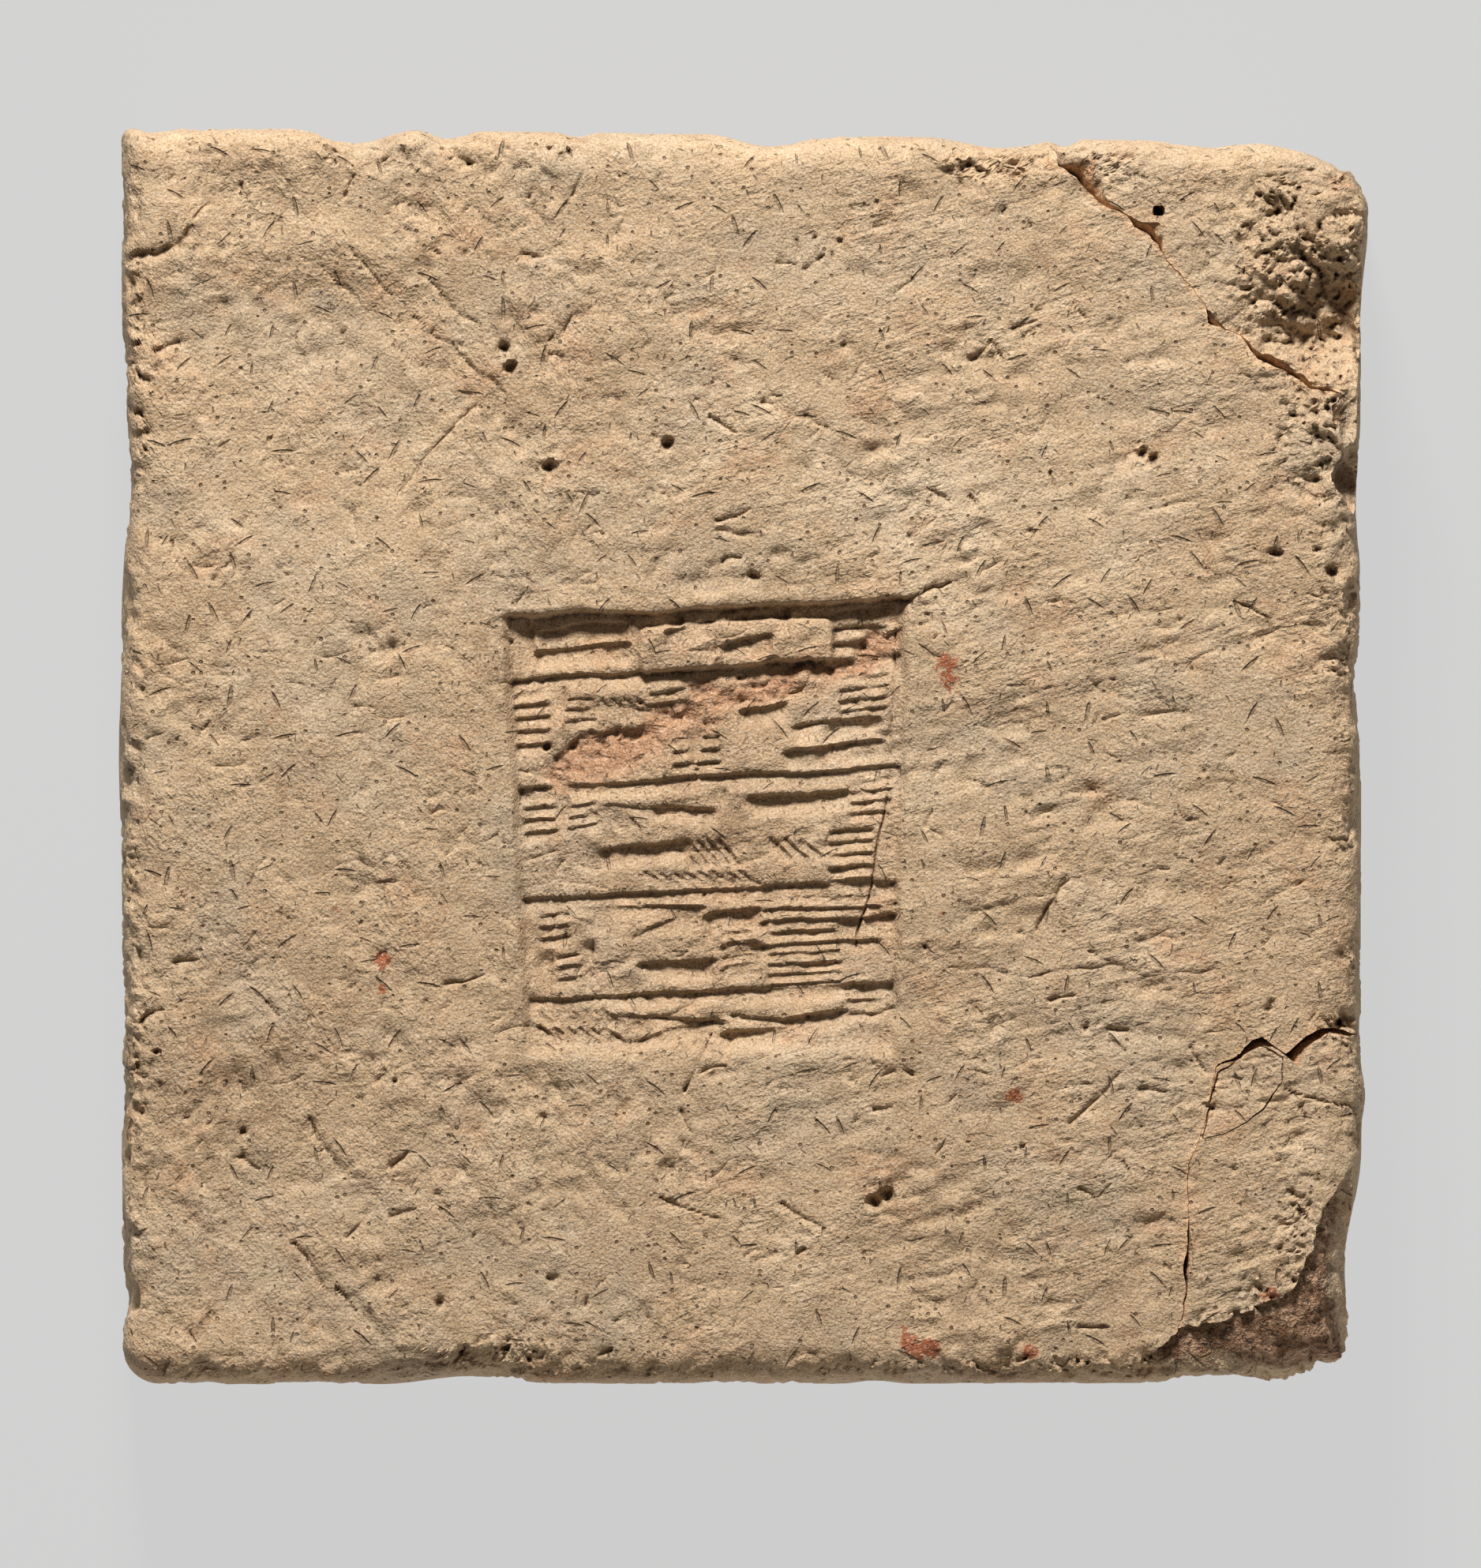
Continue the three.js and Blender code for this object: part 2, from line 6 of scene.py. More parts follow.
import bpy
import numpy as np
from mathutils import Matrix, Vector


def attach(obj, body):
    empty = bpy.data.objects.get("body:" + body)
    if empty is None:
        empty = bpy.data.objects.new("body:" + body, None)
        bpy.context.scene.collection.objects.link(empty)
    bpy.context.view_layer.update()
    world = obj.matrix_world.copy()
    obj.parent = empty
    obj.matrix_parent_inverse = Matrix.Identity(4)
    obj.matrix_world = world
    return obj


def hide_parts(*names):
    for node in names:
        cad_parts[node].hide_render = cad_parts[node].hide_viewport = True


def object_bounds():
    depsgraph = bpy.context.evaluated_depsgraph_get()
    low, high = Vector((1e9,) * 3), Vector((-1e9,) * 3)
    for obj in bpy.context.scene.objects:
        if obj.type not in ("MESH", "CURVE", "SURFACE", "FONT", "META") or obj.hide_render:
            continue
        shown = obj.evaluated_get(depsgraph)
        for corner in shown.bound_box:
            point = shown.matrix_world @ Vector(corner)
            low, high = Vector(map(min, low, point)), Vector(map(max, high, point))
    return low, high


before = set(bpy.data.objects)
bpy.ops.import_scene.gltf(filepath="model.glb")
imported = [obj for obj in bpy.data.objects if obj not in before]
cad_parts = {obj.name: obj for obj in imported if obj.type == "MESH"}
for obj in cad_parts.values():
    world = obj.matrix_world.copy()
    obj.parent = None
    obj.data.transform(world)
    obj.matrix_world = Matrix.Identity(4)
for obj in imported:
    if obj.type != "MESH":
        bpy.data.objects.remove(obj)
cad_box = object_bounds()

MM = 0.001
WIDTH, LENGTH, THICKNESS = ((cad_box[1][axis] - cad_box[0][axis]) / MM for axis in range(3))
NAMES = ("brick_body", "upper_right_corner", "lower_right_corner", "lower_right_wedge")

# The photograph's frame, and how a place read from it falls on the upper face
PHOTO_SIZE = (1876, 1986)
PHOTO_MIDDLE = (942, 957)
PHOTO_MM_PER_PIXEL = WIDTH / 1590

# Outline: corner radii from the near left corner, then for each side anticlockwise its inset at both ends
# and its dips, each with a place, a half width (shares of the side) and a depth
CORNER_RADII = (10, 6, 18, 4)
SIDES = (
    (0.3, 0.6, ((0.28, 0.07, 2.0), (0.605, 0.03, 0.8), (0.88, 0.06, 2.0), (0.97, 0.05, 2.4))),
    (2.0, 2.2, ((0.09, 0.1, 4.4), (0.23, 0.03, -1.1), (0.55, 0.05, 1.3), (0.7, 0.07, 1.2),
                (0.93, 0.08, -2.0))),
    (4.5, 0.0, ((0.04, 0.06, 2.6), (0.13, 0.05, 1.5), (0.243, 0.015, 2.0), (0.295, 0.06, 2.6),
                (0.48, 0.05, 3.0), (0.633, 0.02, 1.2), (0.735, 0.03, 1.6), (0.81, 0.05, 3.6),
                (0.97, 0.03, 1.4))),
    (0.8, 1.0, ((0.27, 0.13, 1.8), (0.5, 0.1, -0.7), (0.7, 0.04, 0.6), (0.93, 0.03, 1.2))),
)

# The rounded edge and the side below it: inset and height from the top; the rings of the underside; and
# the sides' small lumps by size and depth
SIDE_PROFILE = (
    (10, 0), (6, -0.5), (3.4, -2), (1.8, -5), (0.9, -10), (0.6, -20), (0.5, -34), (0, -52), (0.8, -76),
    (3.5, -80),
)
UNDERSIDE_INSET = 8
UNDERSIDE_SHRINK = 0.82
UNDERSIDE_RINGS = 5
SIDE_CRUMBS = ((5, 1.0), (2.6, 0.7), (1.3, 0.5))

# How finely the brick is drawn: points along a side, the steps down the sides, and the middle and half
# width, as shares of the side, where the upper face is drawn closer for the panel
SIDE_POINTS = 640
FINE_STEP = 0.6
COARSE_STEP = 1.8
FINE_REACH = 26
CHART_STEP = 0.28
CHART_MARGIN = 5
CROWDING = 0.9
CROWDED_ACROSS = (0.473, 0.18)
CROWDED_ALONG = (0.44, 0.19)
TRIANGLE_LIMITS = {NAMES[0]: 196000, NAMES[1]: 120000, NAMES[2]: 120000, NAMES[3]: 16000}

# A trough behind the far edge: its depth at places across, how far in it runs and its half width
RIM_TROUGH_INSET = 19
RIM_TROUGH_REACH = 16
RIM_TROUGH = (
    (-165, 0.5), (-133, 2.0), (-88, 1.8), (-50, 0.6), (-9, 0), (33, 0.6), (74, 2.0), (99, 2.0), (116, 0.4),
    (157, 0),
)

# Broad hollows of the upper face, each by its middle, its reach sideways, to the far side and to the near
# side, and its depth
TOP_HOLLOWS = (
    ((-106, 112), (62, 46, 110), 3.2), ((-74, 96), (64, 42, 42), 0.8), ((96, 118), (50, 40, 70), 2.2),
    ((-128, -112), (38, 64, 64), 1.3), ((160, 112), (36, 28, 18), 14), ((60, -132), (74, 29, 29), 1.0),
    ((143, 144), (10, 6, 8), 2.4), ((60, 84), (54, 48, 48), 0.7), ((166, 74), (14, 12, 20), 2.0),
)

# Smears left by wiping: the size of each, then its seed, stretch and turn in degrees on the left and right
SMEARS = (
    (2.6, (41, 9, -58), (42, 9, 12)), (9, (43, 3.5, -50), (44, 3.5, 10)),
    (1.5, (50, 5, -55), (49, 8, 14)),
)

# Chips out of the edges: the edge, how far outside it, along it and below the top the middle lies, and its
# half sizes; chips in even places don't touch each other, nor do those in odd places
CHIPS = (
    ("right", 1, 116, -1, (15, 19, 15)), ("right", 0, 95, 0, (10, 16, 8)), ("right", -1, 72, 3, (8, 10, 13)),
    ("right", -1, 40, 2, (6, 9, 8)), ("right", 1, 1, 6, (5, 7, 9)), ("far", -4, 64, -1, (18, 7, 5)),
    ("far", -12.4, 70.8, 0, (4, 2.2, 6)), ("far", -22.8, 109, 2, (1.8, 1.8, 12)),
    ("near", -1, -62, -1, (26, 7, 6)), ("near", 0, 76, -1, (38, 6, 6)),
    ("left", 1, 74, -1, (5, 24, 6)), ("far", 0.6, -95.6, 0, (2.2, 3, 7)), ("right", 0, -70.5, 1, (6, 5, 5)),
    ("left", 0.5, 90, 0, (4.5, 8, 7)), ("left", 0.3, 21, -1, (3.6, 5, 8)), ("left", 0.2, 58, 0, (4, 5, 8)),
    ("right", 0.3, 24, 0, (4.5, 4.5, 7)), ("right", 0.2, -18, 0, (4, 5, 7)),
)

# Cracks: distance from the right edge, distance from the far or near edge, and opening at the top
UPPER_CRACK = (
    (84.5, -6, 11), (83.2, 4.7, 13), (82.4, 11.2, 13), (77.4, 14.3, 11), (72.8, 19.5, 6.4), (68.7, 22, 2.6),
    (64.3, 23.8, 1.2), (62.5, 27.1, 4), (58.5, 29.4, 5.5), (56, 31.5, 3.6), (54.8, 33.8, 0.9),
    (50, 39.8, 0.8), (45.2, 45.4, 0.8), (43.4, 48.3, 0.8), (42.5, 52.1, 3.8), (38.8, 53.5, 1.2),
    (34, 55.4, 1.0), (31.3, 59.5, 2), (29.9, 61.4, 4.4), (25.5, 63.7, 6), (19.9, 66.2, 6), (15.6, 69.1, 4.4),
    (10.4, 70.3, 1.4), (2.7, 72.8, 1), (-7, 76, 1),
)
LOWER_CRACK = (
    (-7, 90, 4), (1.9, 91.6, 4.4), (7.7, 94, 4.8), (12.7, 94.4, 4.2), (17, 92.6, 4.2), (19.7, 90.2, 4.4),
    (22.6, 87.8, 6), (25.9, 90, 2.8), (29.1, 92.4, 5), (31.6, 91.4, 4), (35, 87.6, 2), (40.7, 84.2, 1),
    (41.7, 79, 0.7), (43, 71.6, 0.7), (45.9, 64.1, 0.8), (48.1, 58.5, 0.9), (48.1, 44.4, 0.8),
    (48.4, 37.7, 2.6), (49.2, 31.5, 3), (48.6, 24.2, 1.2), (50.6, 15.9, 0.8), (51.7, -7, 0.8),
)

# The cracks' gap below, the opening that counts as closed, how deep the openings reach, and the lean
CRACK_GAP = 0.1
CRACK_CLOSED = 0.7
CRACK_OPENING_DEPTH = 12
CRACK_LEAN = 0.06

# The loose wedge: its outline from the right edge and the near edge, its depth and its share of size there
WEDGE_OUTLINE = (
    (40.2, 82.5), (44.6, 65.1), (39.2, 66.3), (34.9, 68.8), (30.3, 72.3), (26.4, 76.1), (23.2, 80.6),
    (23.6, 86.4), (28.9, 90.4), (33.6, 87.2),
)
WEDGE_DEPTH = 22
WEDGE_TAPER = 0.45
WEDGE_CLEARANCE = 0.55

# The broken corner: its upper edge from the right edge and the near edge, how far its face runs out at
# depths below the top, with and without the ledge, and its lumps by size, depth and height against width
BREAK_EDGE = (
    (-12, 78), (1, 65.8), (9.7, 53.3), (16, 40.8), (20.1, 27.4), (26.4, 22.2), (30.5, 21.1), (36.7, 18.4),
    (43, 17.6), (48.6, 16.6), (54, 12.5), (60, 7), (66, -1),
)
BREAK_RUN_OUT = ((85, 21), (62, 17), (40, 12.5), (22, 9), (10, 6.8), (5, 4.8), (2.6, 1.4), (-6, -0.6))
BREAK_LEDGE = (
    (85, 21), (62, 20.5), (40, 20), (22, 19), (12, 18), (7, 16.5), (4.4, 12), (3.2, 5), (2.8, -1.2),
    (1.8, -1.0), (1, 0.2), (-6, -0.6),
)
BREAK_REACH = 40
BREAK_LUMPS = ((7, 3.4, 0.7), (3.8, 2.6, 0.5), (2.1, 1.3, 0.4), (1.2, 0.6, 0.7))

# The pressed panel and its strokes, laid out as in the solids: strokes are given by shares of the panel
# across and down, and their sizes by width and depth, a little more than in the solids
PANEL_MIDDLE = (-9, -19.9)
PANEL_HEIGHT = 116.8
PANEL_LEAN = 1.15
PANEL_FAR = {"width": 105.6, "rise": 4.8, "depth": 3.2}
PANEL_NEAR = {"width": 97, "rise": 1.7, "depth": 2.2}
RULE = (3.8, 1.6)
BAR = (4.8, 2.0)
TOOTH = (2.3, 1.2)
STROKE_SKEW = 0.32
STROKE_SPREAD = 1.3
NAIL_TAIL = 0.3
RULE_RISE = 0.01
RULES = (0.148, 0.396, 0.649, 0.877)
BARS = (
    (0.1, 0.28, 0.055), (0.09, 0.29, 0.1), (0.42, 0.5, 0.06), (0.56, 0.64, 0.1), (0.6, 0.68, 0.25),
    (0.74, 0.92, 0.29), (0.72, 0.93, 0.345), (0.62, 0.84, 0.45), (0.24, 0.43, 0.555), (0.5, 0.61, 0.71),
    (0.33, 0.5, 0.82), (0.86, 0.97, 0.73), (0.72, 0.84, 0.945), (0.54, 0.7, 0.975),
)
NAILS = (
    (0.16, 0.45, 0.2, 0.25), (0.2, 0.36, 0.27, 0.3), (0.22, 0.5, 0.44, 0.47), (0.08, 0.46, 0.665, 0.69),
    (0.3, 0.46, 0.735, 0.7), (0.24, 0.52, 0.915, 0.95), (0.26, 0.44, 0.98, 0.955), (0.56, 0.72, 0.92, 0.95),
)
TICKS = (
    (0.05, 0.03, 0.11), (0.42, 0.02, 0.045), (0.5, 0.09, 0.125), (0.68, 0.02, 0.06), (0.12, 0.18, 0.25),
    (0.46, 0.28, 0.36), (0.56, 0.21, 0.25), (0.12, 0.42, 0.5), (0.52, 0.42, 0.46), (0.06, 0.78, 0.86),
    (0.17, 0.76, 0.83),
)
COMBS = (
    (0.82, 0.94, 0.03, 0.1, 3), (0.02, 0.09, 0.18, 0.3, 5), (0.42, 0.52, 0.3, 0.36, 3),
    (0.03, 0.1, 0.42, 0.5, 4), (0.87, 0.96, 0.41, 0.48, 4), (0.82, 0.92, 0.52, 0.63, 5),
    (0.06, 0.12, 0.69, 0.74, 3), (0.64, 0.94, 0.665, 0.77, 5), (0.54, 0.6, 0.74, 0.82, 4),
    (0.66, 0.84, 0.79, 0.86, 4),
)
HATCHES = (
    (0.42, 0.56, 0.53, 0.58, 5), (0.66, 0.78, 0.53, 0.57, 3), (0.03, 0.24, 0.9, 0.93, 7),
    (0.05, 0.25, 0.945, 0.975, 6),
)
HATCH_LEAN = 0.025
FAINT_COMBS = (
    (0.84, 0.95, 0.175, 0.25, 4), (0.14, 0.21, 0.2, 0.25, 3), (0.14, 0.2, 0.44, 0.49, 3),
    (0.55, 0.62, 0.76, 0.83, 5), (0.1, 0.18, 0.78, 0.83, 3), (0.87, 0.95, 0.9, 0.93, 2),
    (0.36, 0.44, 0.19, 0.24, 3),
)
FAINT_HATCHES = (
    (0.24, 0.36, 0.2, 0.235, 4), (0.34, 0.62, 0.6, 0.625, 8), (0.2, 0.3, 0.45, 0.49, 4),
    (0.3, 0.5, 0.93, 0.95, 6),
)
FAINT = (2.0, 0.9)
PAD = {"across": (0.33, 0.81), "down": (0.03, 0.138), "rise": 2.1}
SCAR_EDGES = (
    (0.05, 0.35, 0.36), (0.1, 0.33, 0.38), (0.2, 0.27, 0.37), (0.3, 0.25, 0.37), (0.4, 0.18, 0.33),
    (0.52, 0.15, 0.25), (0.64, 0.155, 0.24), (0.74, 0.125, 0.2), (0.86, 0.09, 0.17), (0.96, 0.04, 0.13),
    (1.02, 0.02, 0.05),
)
SCAR_DEPTH = 1.9

# Straw marks that stand out in the photograph: both ends, in its pixels
STRAW_MARKS = (
    (1354, 1421, 1418, 1364), (1312, 1175, 1355, 1110), (842, 1517, 914, 1542), (995, 1522, 1039, 1555),
    (888, 1361, 919, 1350), (1110, 1406, 1140, 1406), (863, 1407, 873, 1435), (870, 1384, 901, 1310),
    (1443, 1383, 1476, 1385), (1331, 1268, 1364, 1261), (1403, 1305, 1430, 1305), (1381, 1203, 1401, 1220),
    (1372, 1678, 1404, 1678), (1366, 1502, 1385, 1514), (1513, 1326, 1530, 1357), (1646, 1401, 1656, 1421),
    (561, 1246, 615, 1235), (219, 1214, 248, 1216), (337, 1270, 354, 1287), (184, 1299, 207, 1278),
    (372, 1575, 406, 1633), (426, 1633, 453, 1668), (439, 1567, 455, 1551), (495, 1538, 528, 1528),
    (393, 1417, 424, 1477), (308, 1465, 327, 1477), (495, 1480, 518, 1465), (271, 737, 300, 707),
    (192, 445, 235, 433), (436, 247, 444, 220), (306, 235, 312, 265), (222, 686, 237, 724),
    (724, 243, 736, 213), (658, 320, 694, 324), (1009, 303, 1016, 329), (986, 333, 1014, 341),
    (1024, 344, 1044, 330), (1283, 414, 1311, 401), (1229, 459, 1253, 431), (1253, 431, 1272, 459),
    (1024, 527, 1052, 542), (900, 525, 932, 549), (1178, 621, 1204, 636), (1227, 626, 1249, 651),
    (1332, 604, 1339, 636), (907, 671, 947, 681), (909, 658, 950, 643), (967, 512, 986, 522),
)
STRAW_MARK_WIDTHS = (1.3, 1.9)
STRAW_MARK_DEPTHS = (1.3, 0.8)

# Straw marks and pits thrown at random: how many, and the middle of the sizes' logarithms, their spread and
# the least and greatest size
STRAW_COUNT = 520
STRAW_LENGTHS = (1.1, 0.5, 1.4, 9)
STRAW_WIDTHS = (-0.05, 0.3, 0.6, 1.7)
PIT_COUNT = 300
PIT_SIZES = (-0.1, 0.45, 0.5, 3.2)

# Crumbling zones, each by its middle in pixels, half sizes and the height of its crumbs in millimetres
CRUMBLING = (
    ((1665, 340), (40, 46), 1.9), ((1668, 560), (20, 36), 1.7), ((1255, 215), (20, 8), 2.0),
    ((1400, 215), (16, 12), 1.2), ((1690, 760), (9, 20), 1.1), ((1590, 1690), (26, 12), 1.2),
    ((640, 1715), (30, 7), 1.3), ((1310, 1730), (46, 7), 1.3), ((180, 450), (8, 40), 0.8),
    ((175, 1350), (8, 50), 0.7), ((560, 200), (60, 9), 0.8), ((1440, 580), (8, 6), 0.7),
    ((1700, 1310), (9, 8), 1.2), ((330, 260), (40, 26), 0.35), ((820, 1650), (80, 14), 0.3),
    ((1470, 1722), (14, 9), 1.2), ((1625, 255), (12, 8), 1.2), ((172, 520), (6, 30), 1.4),
    ((1640, 1540), (9, 26), 1.3), ((1600, 1630), (12, 12), 1.3), ((1524, 1404), (6, 5), 1.6),
    ((1696, 1292), (9, 5), 2.4), ((1700, 850), (8, 7), 2.2), ((1705, 1050), (7, 8), 2.0),
)
EDGE_CRUMBS = 1.0
EDGE_BAND = (0.0, 9.0)
CRUMB_SIZES = ((13, 1.0), (6, 0.8), (3, 0.5), (1.5, 0.35))
CRUMB_STRETCH = (1.7, -0.7)

# Where the clay's masks change: how far round the cracks, where x less y reaches the broken corner, and how
# far in the worn surface may lie at depths below the top
CRACK_REACH = (6, 9)
BREAK_DIAGONAL = (238, 256)
WORN_INSETS = ((0, 2, 10, 80), (6, 3.4, 1.2, 1.2))

# Larger pits and dimples, each by its middle in pixels and its width or half width in millimetres
PITS = (
    (636, 442, 3.4), (646, 468, 4.2), (312, 1434, 2.4), (501, 1372, 2), (198, 1334, 2.2), (1043, 330, 2),
    (1031, 302, 1.6), (1065, 306, 1.8), (1066, 438, 1.6), (1274, 269, 2), (1670, 700, 2.4), (1708, 782, 2.6),
    (698, 591, 4.4), (1459, 580, 3.4), (1446, 574, 3), (692, 945, 2.6), (846, 561, 4), (1104, 1524, 4.6),
    (1118, 1515, 4.4), (1682, 728, 3.4), (1614, 699, 3.2),
)
DIMPLES = (
    ((1424, 530), 10, 1.4), ((205, 280), 14, -1.6), ((1240, 600), 22, 0.6), ((470, 520), 24, 0.7),
    ((640, 700), 18, -0.5), ((1580, 900), 24, -0.5), ((1500, 1120), 26, 0.6), ((360, 980), 26, -0.4),
)

# Creases and fine cracks: their points in pixels, then width and depth
FOLDS = (
    (((160, 333), (200, 322), (237, 297)), 4.6, 2.6),
    (((440, 316), (470, 345), (497, 378)), 1.1, 0.9), (((408, 338), (432, 360), (458, 381)), 1.0, 0.8),
    (((538, 352), (560, 380), (578, 400), (604, 412)), 1.5, 0.8),
    (((520, 398), (548, 424), (590, 440)), 1.2, 0.8),
    (((478, 420), (510, 446), (552, 470)), 1.0, 0.7), (((566, 432), (600, 470), (640, 500)), 1.3, 0.7),
    (((604, 517), (580, 540), (556, 562), (530, 590), (506, 622)), 0.9, 1.0),
    (((1560, 759), (1582, 768), (1605, 783)), 1.0, 1.3),
    (((1200, 1232), (1250, 1228), (1300, 1236), (1350, 1230), (1400, 1226), (1450, 1234), (1545, 1231)),
     0.8, 0.5),
    (((1085, 1200), (1090, 1165), (1104, 1120), (1112, 1080), (1120, 1040), (1123, 1010)), 0.9, 1.3),
    (((1150, 762), (1172, 748), (1200, 738)), 1.4, 1.2),
    (((1628, 1378), (1650, 1389), (1676, 1396), (1709, 1396)), 0.8, 1.1),
    (((1138, 800), (1130, 880), (1128, 960)), 1.0, 0.9),
)

# Rust and broad tone, each by its middle in pixels, half width in millimetres and strength
RUST = (
    (1196, 835, 4.5, 1), (1200, 862, 4.5, 0.9), (489, 1216, 4, 1.1), (482, 1252, 3, 0.9), (425, 1150, 3, 0.8),
    (1192, 1165, 4, 1), (1285, 1388, 5, 1), (1155, 1699, 5, 1.1), (1182, 1709, 5, 1), (1300, 1715, 4.5, 0.9),
    (885, 395, 7, 0.5), (1610, 1640, 5, 0.8), (1440, 1740, 4, 0.7),
)
TONES = (
    (300, 560, 60, 0.3), (340, 1350, 110, -0.3), (1450, 900, 80, 0.2), (1000, 560, 60, 0.3),
    (1400, 600, 60, 0.3),
)
ASH = ((412, 384, 5, 1), (398, 372, 3, 0.7), (1530, 1400, 3, 0.8), (1500, 1398, 2.4, 0.6))

# Wiping of the upper face, left and right: its direction in degrees and how drawn out its lines are
WIPING = ((-52, 8), (17, 11))

# Screen colours of the clay, and of the light and shade painted on it
BROWN = (150, 122, 92)
BUFF = (196, 168, 134)
PALE = (222, 198, 166)
GREY = (186, 168, 142)
WARM = (190, 146, 110)
TORN = (182, 130, 95)
RUSTY = (160, 86, 50)
# The broken clay's colours, painted paler than the clay itself to stand in for the fill light on the breaks
BREAK_DARK = (136, 100, 74)
BREAK_PALE = (208, 170, 138)
# Painted light: the crack walls' colour, made brighter to stand in for light bounced into the cracks
LIT_CRACK_WALL = (226, 182, 140)
# Painted shade: near black for dark holes on the broken clay and for the depths of the cracks
HOLE_AND_CRACK_SHADE = (52, 36, 24)
ASHY = (160, 152, 138)
# Painted shade: brown for straw prints, pores and the sand's darker specks
SHADOW = (106, 80, 54)
# Painted shade in hollows, partly dirt: dark brown where the surface lies below its surroundings
HOLLOW_SHADE = (66, 46, 29)
# Pale specks: real pale grit, and painted highlights on the sand's fine relief
PALE_GRIT_AND_GRAIN_HIGHLIGHT = (222, 208, 186)
DARK_GRAIN = (92, 76, 58)

# Straw prints and grains of the material, in millimetres and as shares of their cell
SMALL_STRAW = {"Cell": 3.6, "Length": 0.28, "Width": 0.065, "Share": 0.26}
LARGE_STRAW = {"Cell": 11.0, "Length": 0.27, "Width": 0.05, "Share": 0.7}
PORES = {"Cell": 2.1, "Size": 0.3, "Share": 0.14}
PALE_GRIT = {"Cell": 1.3, "Size": 0.4, "Share": 0.1}
DARK_GRIT = {"Cell": 1.7, "Size": 0.36, "Share": 0.08}

# Camera, sky, floor, and the lights by name, direction, distance, size, power and colour
CAMERA_DISTANCE = 12.0
SKY_COLOUR = (1.0, 0.9, 0.78, 1)
SKY_STRENGTH = 0.07
FLOOR_HALF = 3.0
FLOOR_COLOUR = (0.04, 0.04, 0.04, 1)
FLOOR_GLOW = 0.605
LIGHTS = (
    ("key", (-0.1, 1.0, 0.72), 2.7, 0.47, 115, (1.0, 0.965, 0.93)),
    ("fill", (0.3, -0.6, 1.6), 2.5, 2.0, 2.2, (1.0, 0.94, 0.88)),
    ("low", (0.3, -1.0, 0.05), 2.5, 0.4, 13, (1.0, 0.9, 0.78)),
)


# Random fields

def soft_field(shape, step, size, seed, stretch=1.0, turn=0.0):
    """White noise passed through a bell-shaped filter, so its humps are about size across; stretch makes
    them longer along the direction turn. The mean is 0 and the spread is 1."""
    draw = np.random.default_rng(seed).standard_normal(shape)
    down = np.fft.fftfreq(shape[0], step)[:, None]
    across = np.fft.rfftfreq(shape[1], step)[None, :]
    along = (across * math.cos(turn) + down * math.sin(turn)) * stretch
    aside = -across * math.sin(turn) + down * math.cos(turn)
    keep = np.exp(-0.5 * (along**2 + aside**2) * (math.pi * size / 2) ** 2)
    field = np.fft.irfft2(np.fft.rfft2(draw) * keep, shape)
    return (field - field.mean()) / field.std()


def softened(field, size):
    """The field with everything finer than about size filtered out."""
    down = np.fft.fftfreq(field.shape[0], CHART_STEP)[:, None]
    across = np.fft.rfftfreq(field.shape[1], CHART_STEP)[None, :]
    keep = np.exp(-0.5 * (across**2 + down**2) * (math.pi * size / 2) ** 2)
    return np.fft.irfft2(np.fft.rfft2(field) * keep, field.shape)


def lattice_noise(points, size, seed):
    """Random values from -1 to 1 at the corners of a lattice of cells, blended smoothly inside each cell."""
    places = np.asarray(points, float) / size + 1000.0
    cells = np.floor(places).astype(np.int64)
    share = places - cells
    share = share * share * (3 - 2 * share)
    total = np.zeros(len(places))
    for corner in range(8):
        steps = np.array([(corner >> axis) & 1 for axis in range(3)])
        weight = np.prod(np.where(steps, share, 1 - share), axis=1)
        keys = (cells + steps).astype(np.uint64) @ np.array([73856093, 19349663, 83492791], np.uint64)
        keys = (keys + np.uint64(seed * 2654435761)) & np.uint64(0xFFFFFFFF)
        keys = ((keys ^ (keys >> np.uint64(15))) * np.uint64(2246822519)) & np.uint64(0xFFFFFFFF)
        keys = ((keys ^ (keys >> np.uint64(13))) * np.uint64(3266489917)) & np.uint64(0xFFFFFFFF)
        total += weight * ((keys ^ (keys >> np.uint64(16))) / 2147483648.0 - 1)
    return total


def rough(points, size, depth, seed, octaves=3):
    """Sum of lattice noises, each finer and shallower than the last."""
    return sum(lattice_noise(points, size / 2.6**k, seed + k) * depth / 2.1**k for k in range(octaves))


# Outline

def bump(distance, half_width):
    """A raised cosine: 1 in the middle and 0 from the half width on."""
    return 0.5 + 0.5 * np.cos(np.pi * np.clip(np.abs(distance) / half_width, 0, 1))


def smooth_step(value, low, high):
    """Rises from 0 at low to 1 at high, flat at both ends."""
    share = np.clip((value - low) / (high - low), 0, 1)
    return share * share * (3 - 2 * share)


def side_inset(side, share):
    """The straight line between the side's two insets, plus a bump for each dip."""
    start, end, dips = side
    return start + (end - start) * share + sum(depth * bump(share - at, half) for at, half, depth in dips)


def corner_inset(distance, radius):
    """How far a quarter circle lies inside its square corner."""
    near = np.clip(distance, 0, radius)
    return radius - np.sqrt(radius**2 - (radius - near) ** 2)


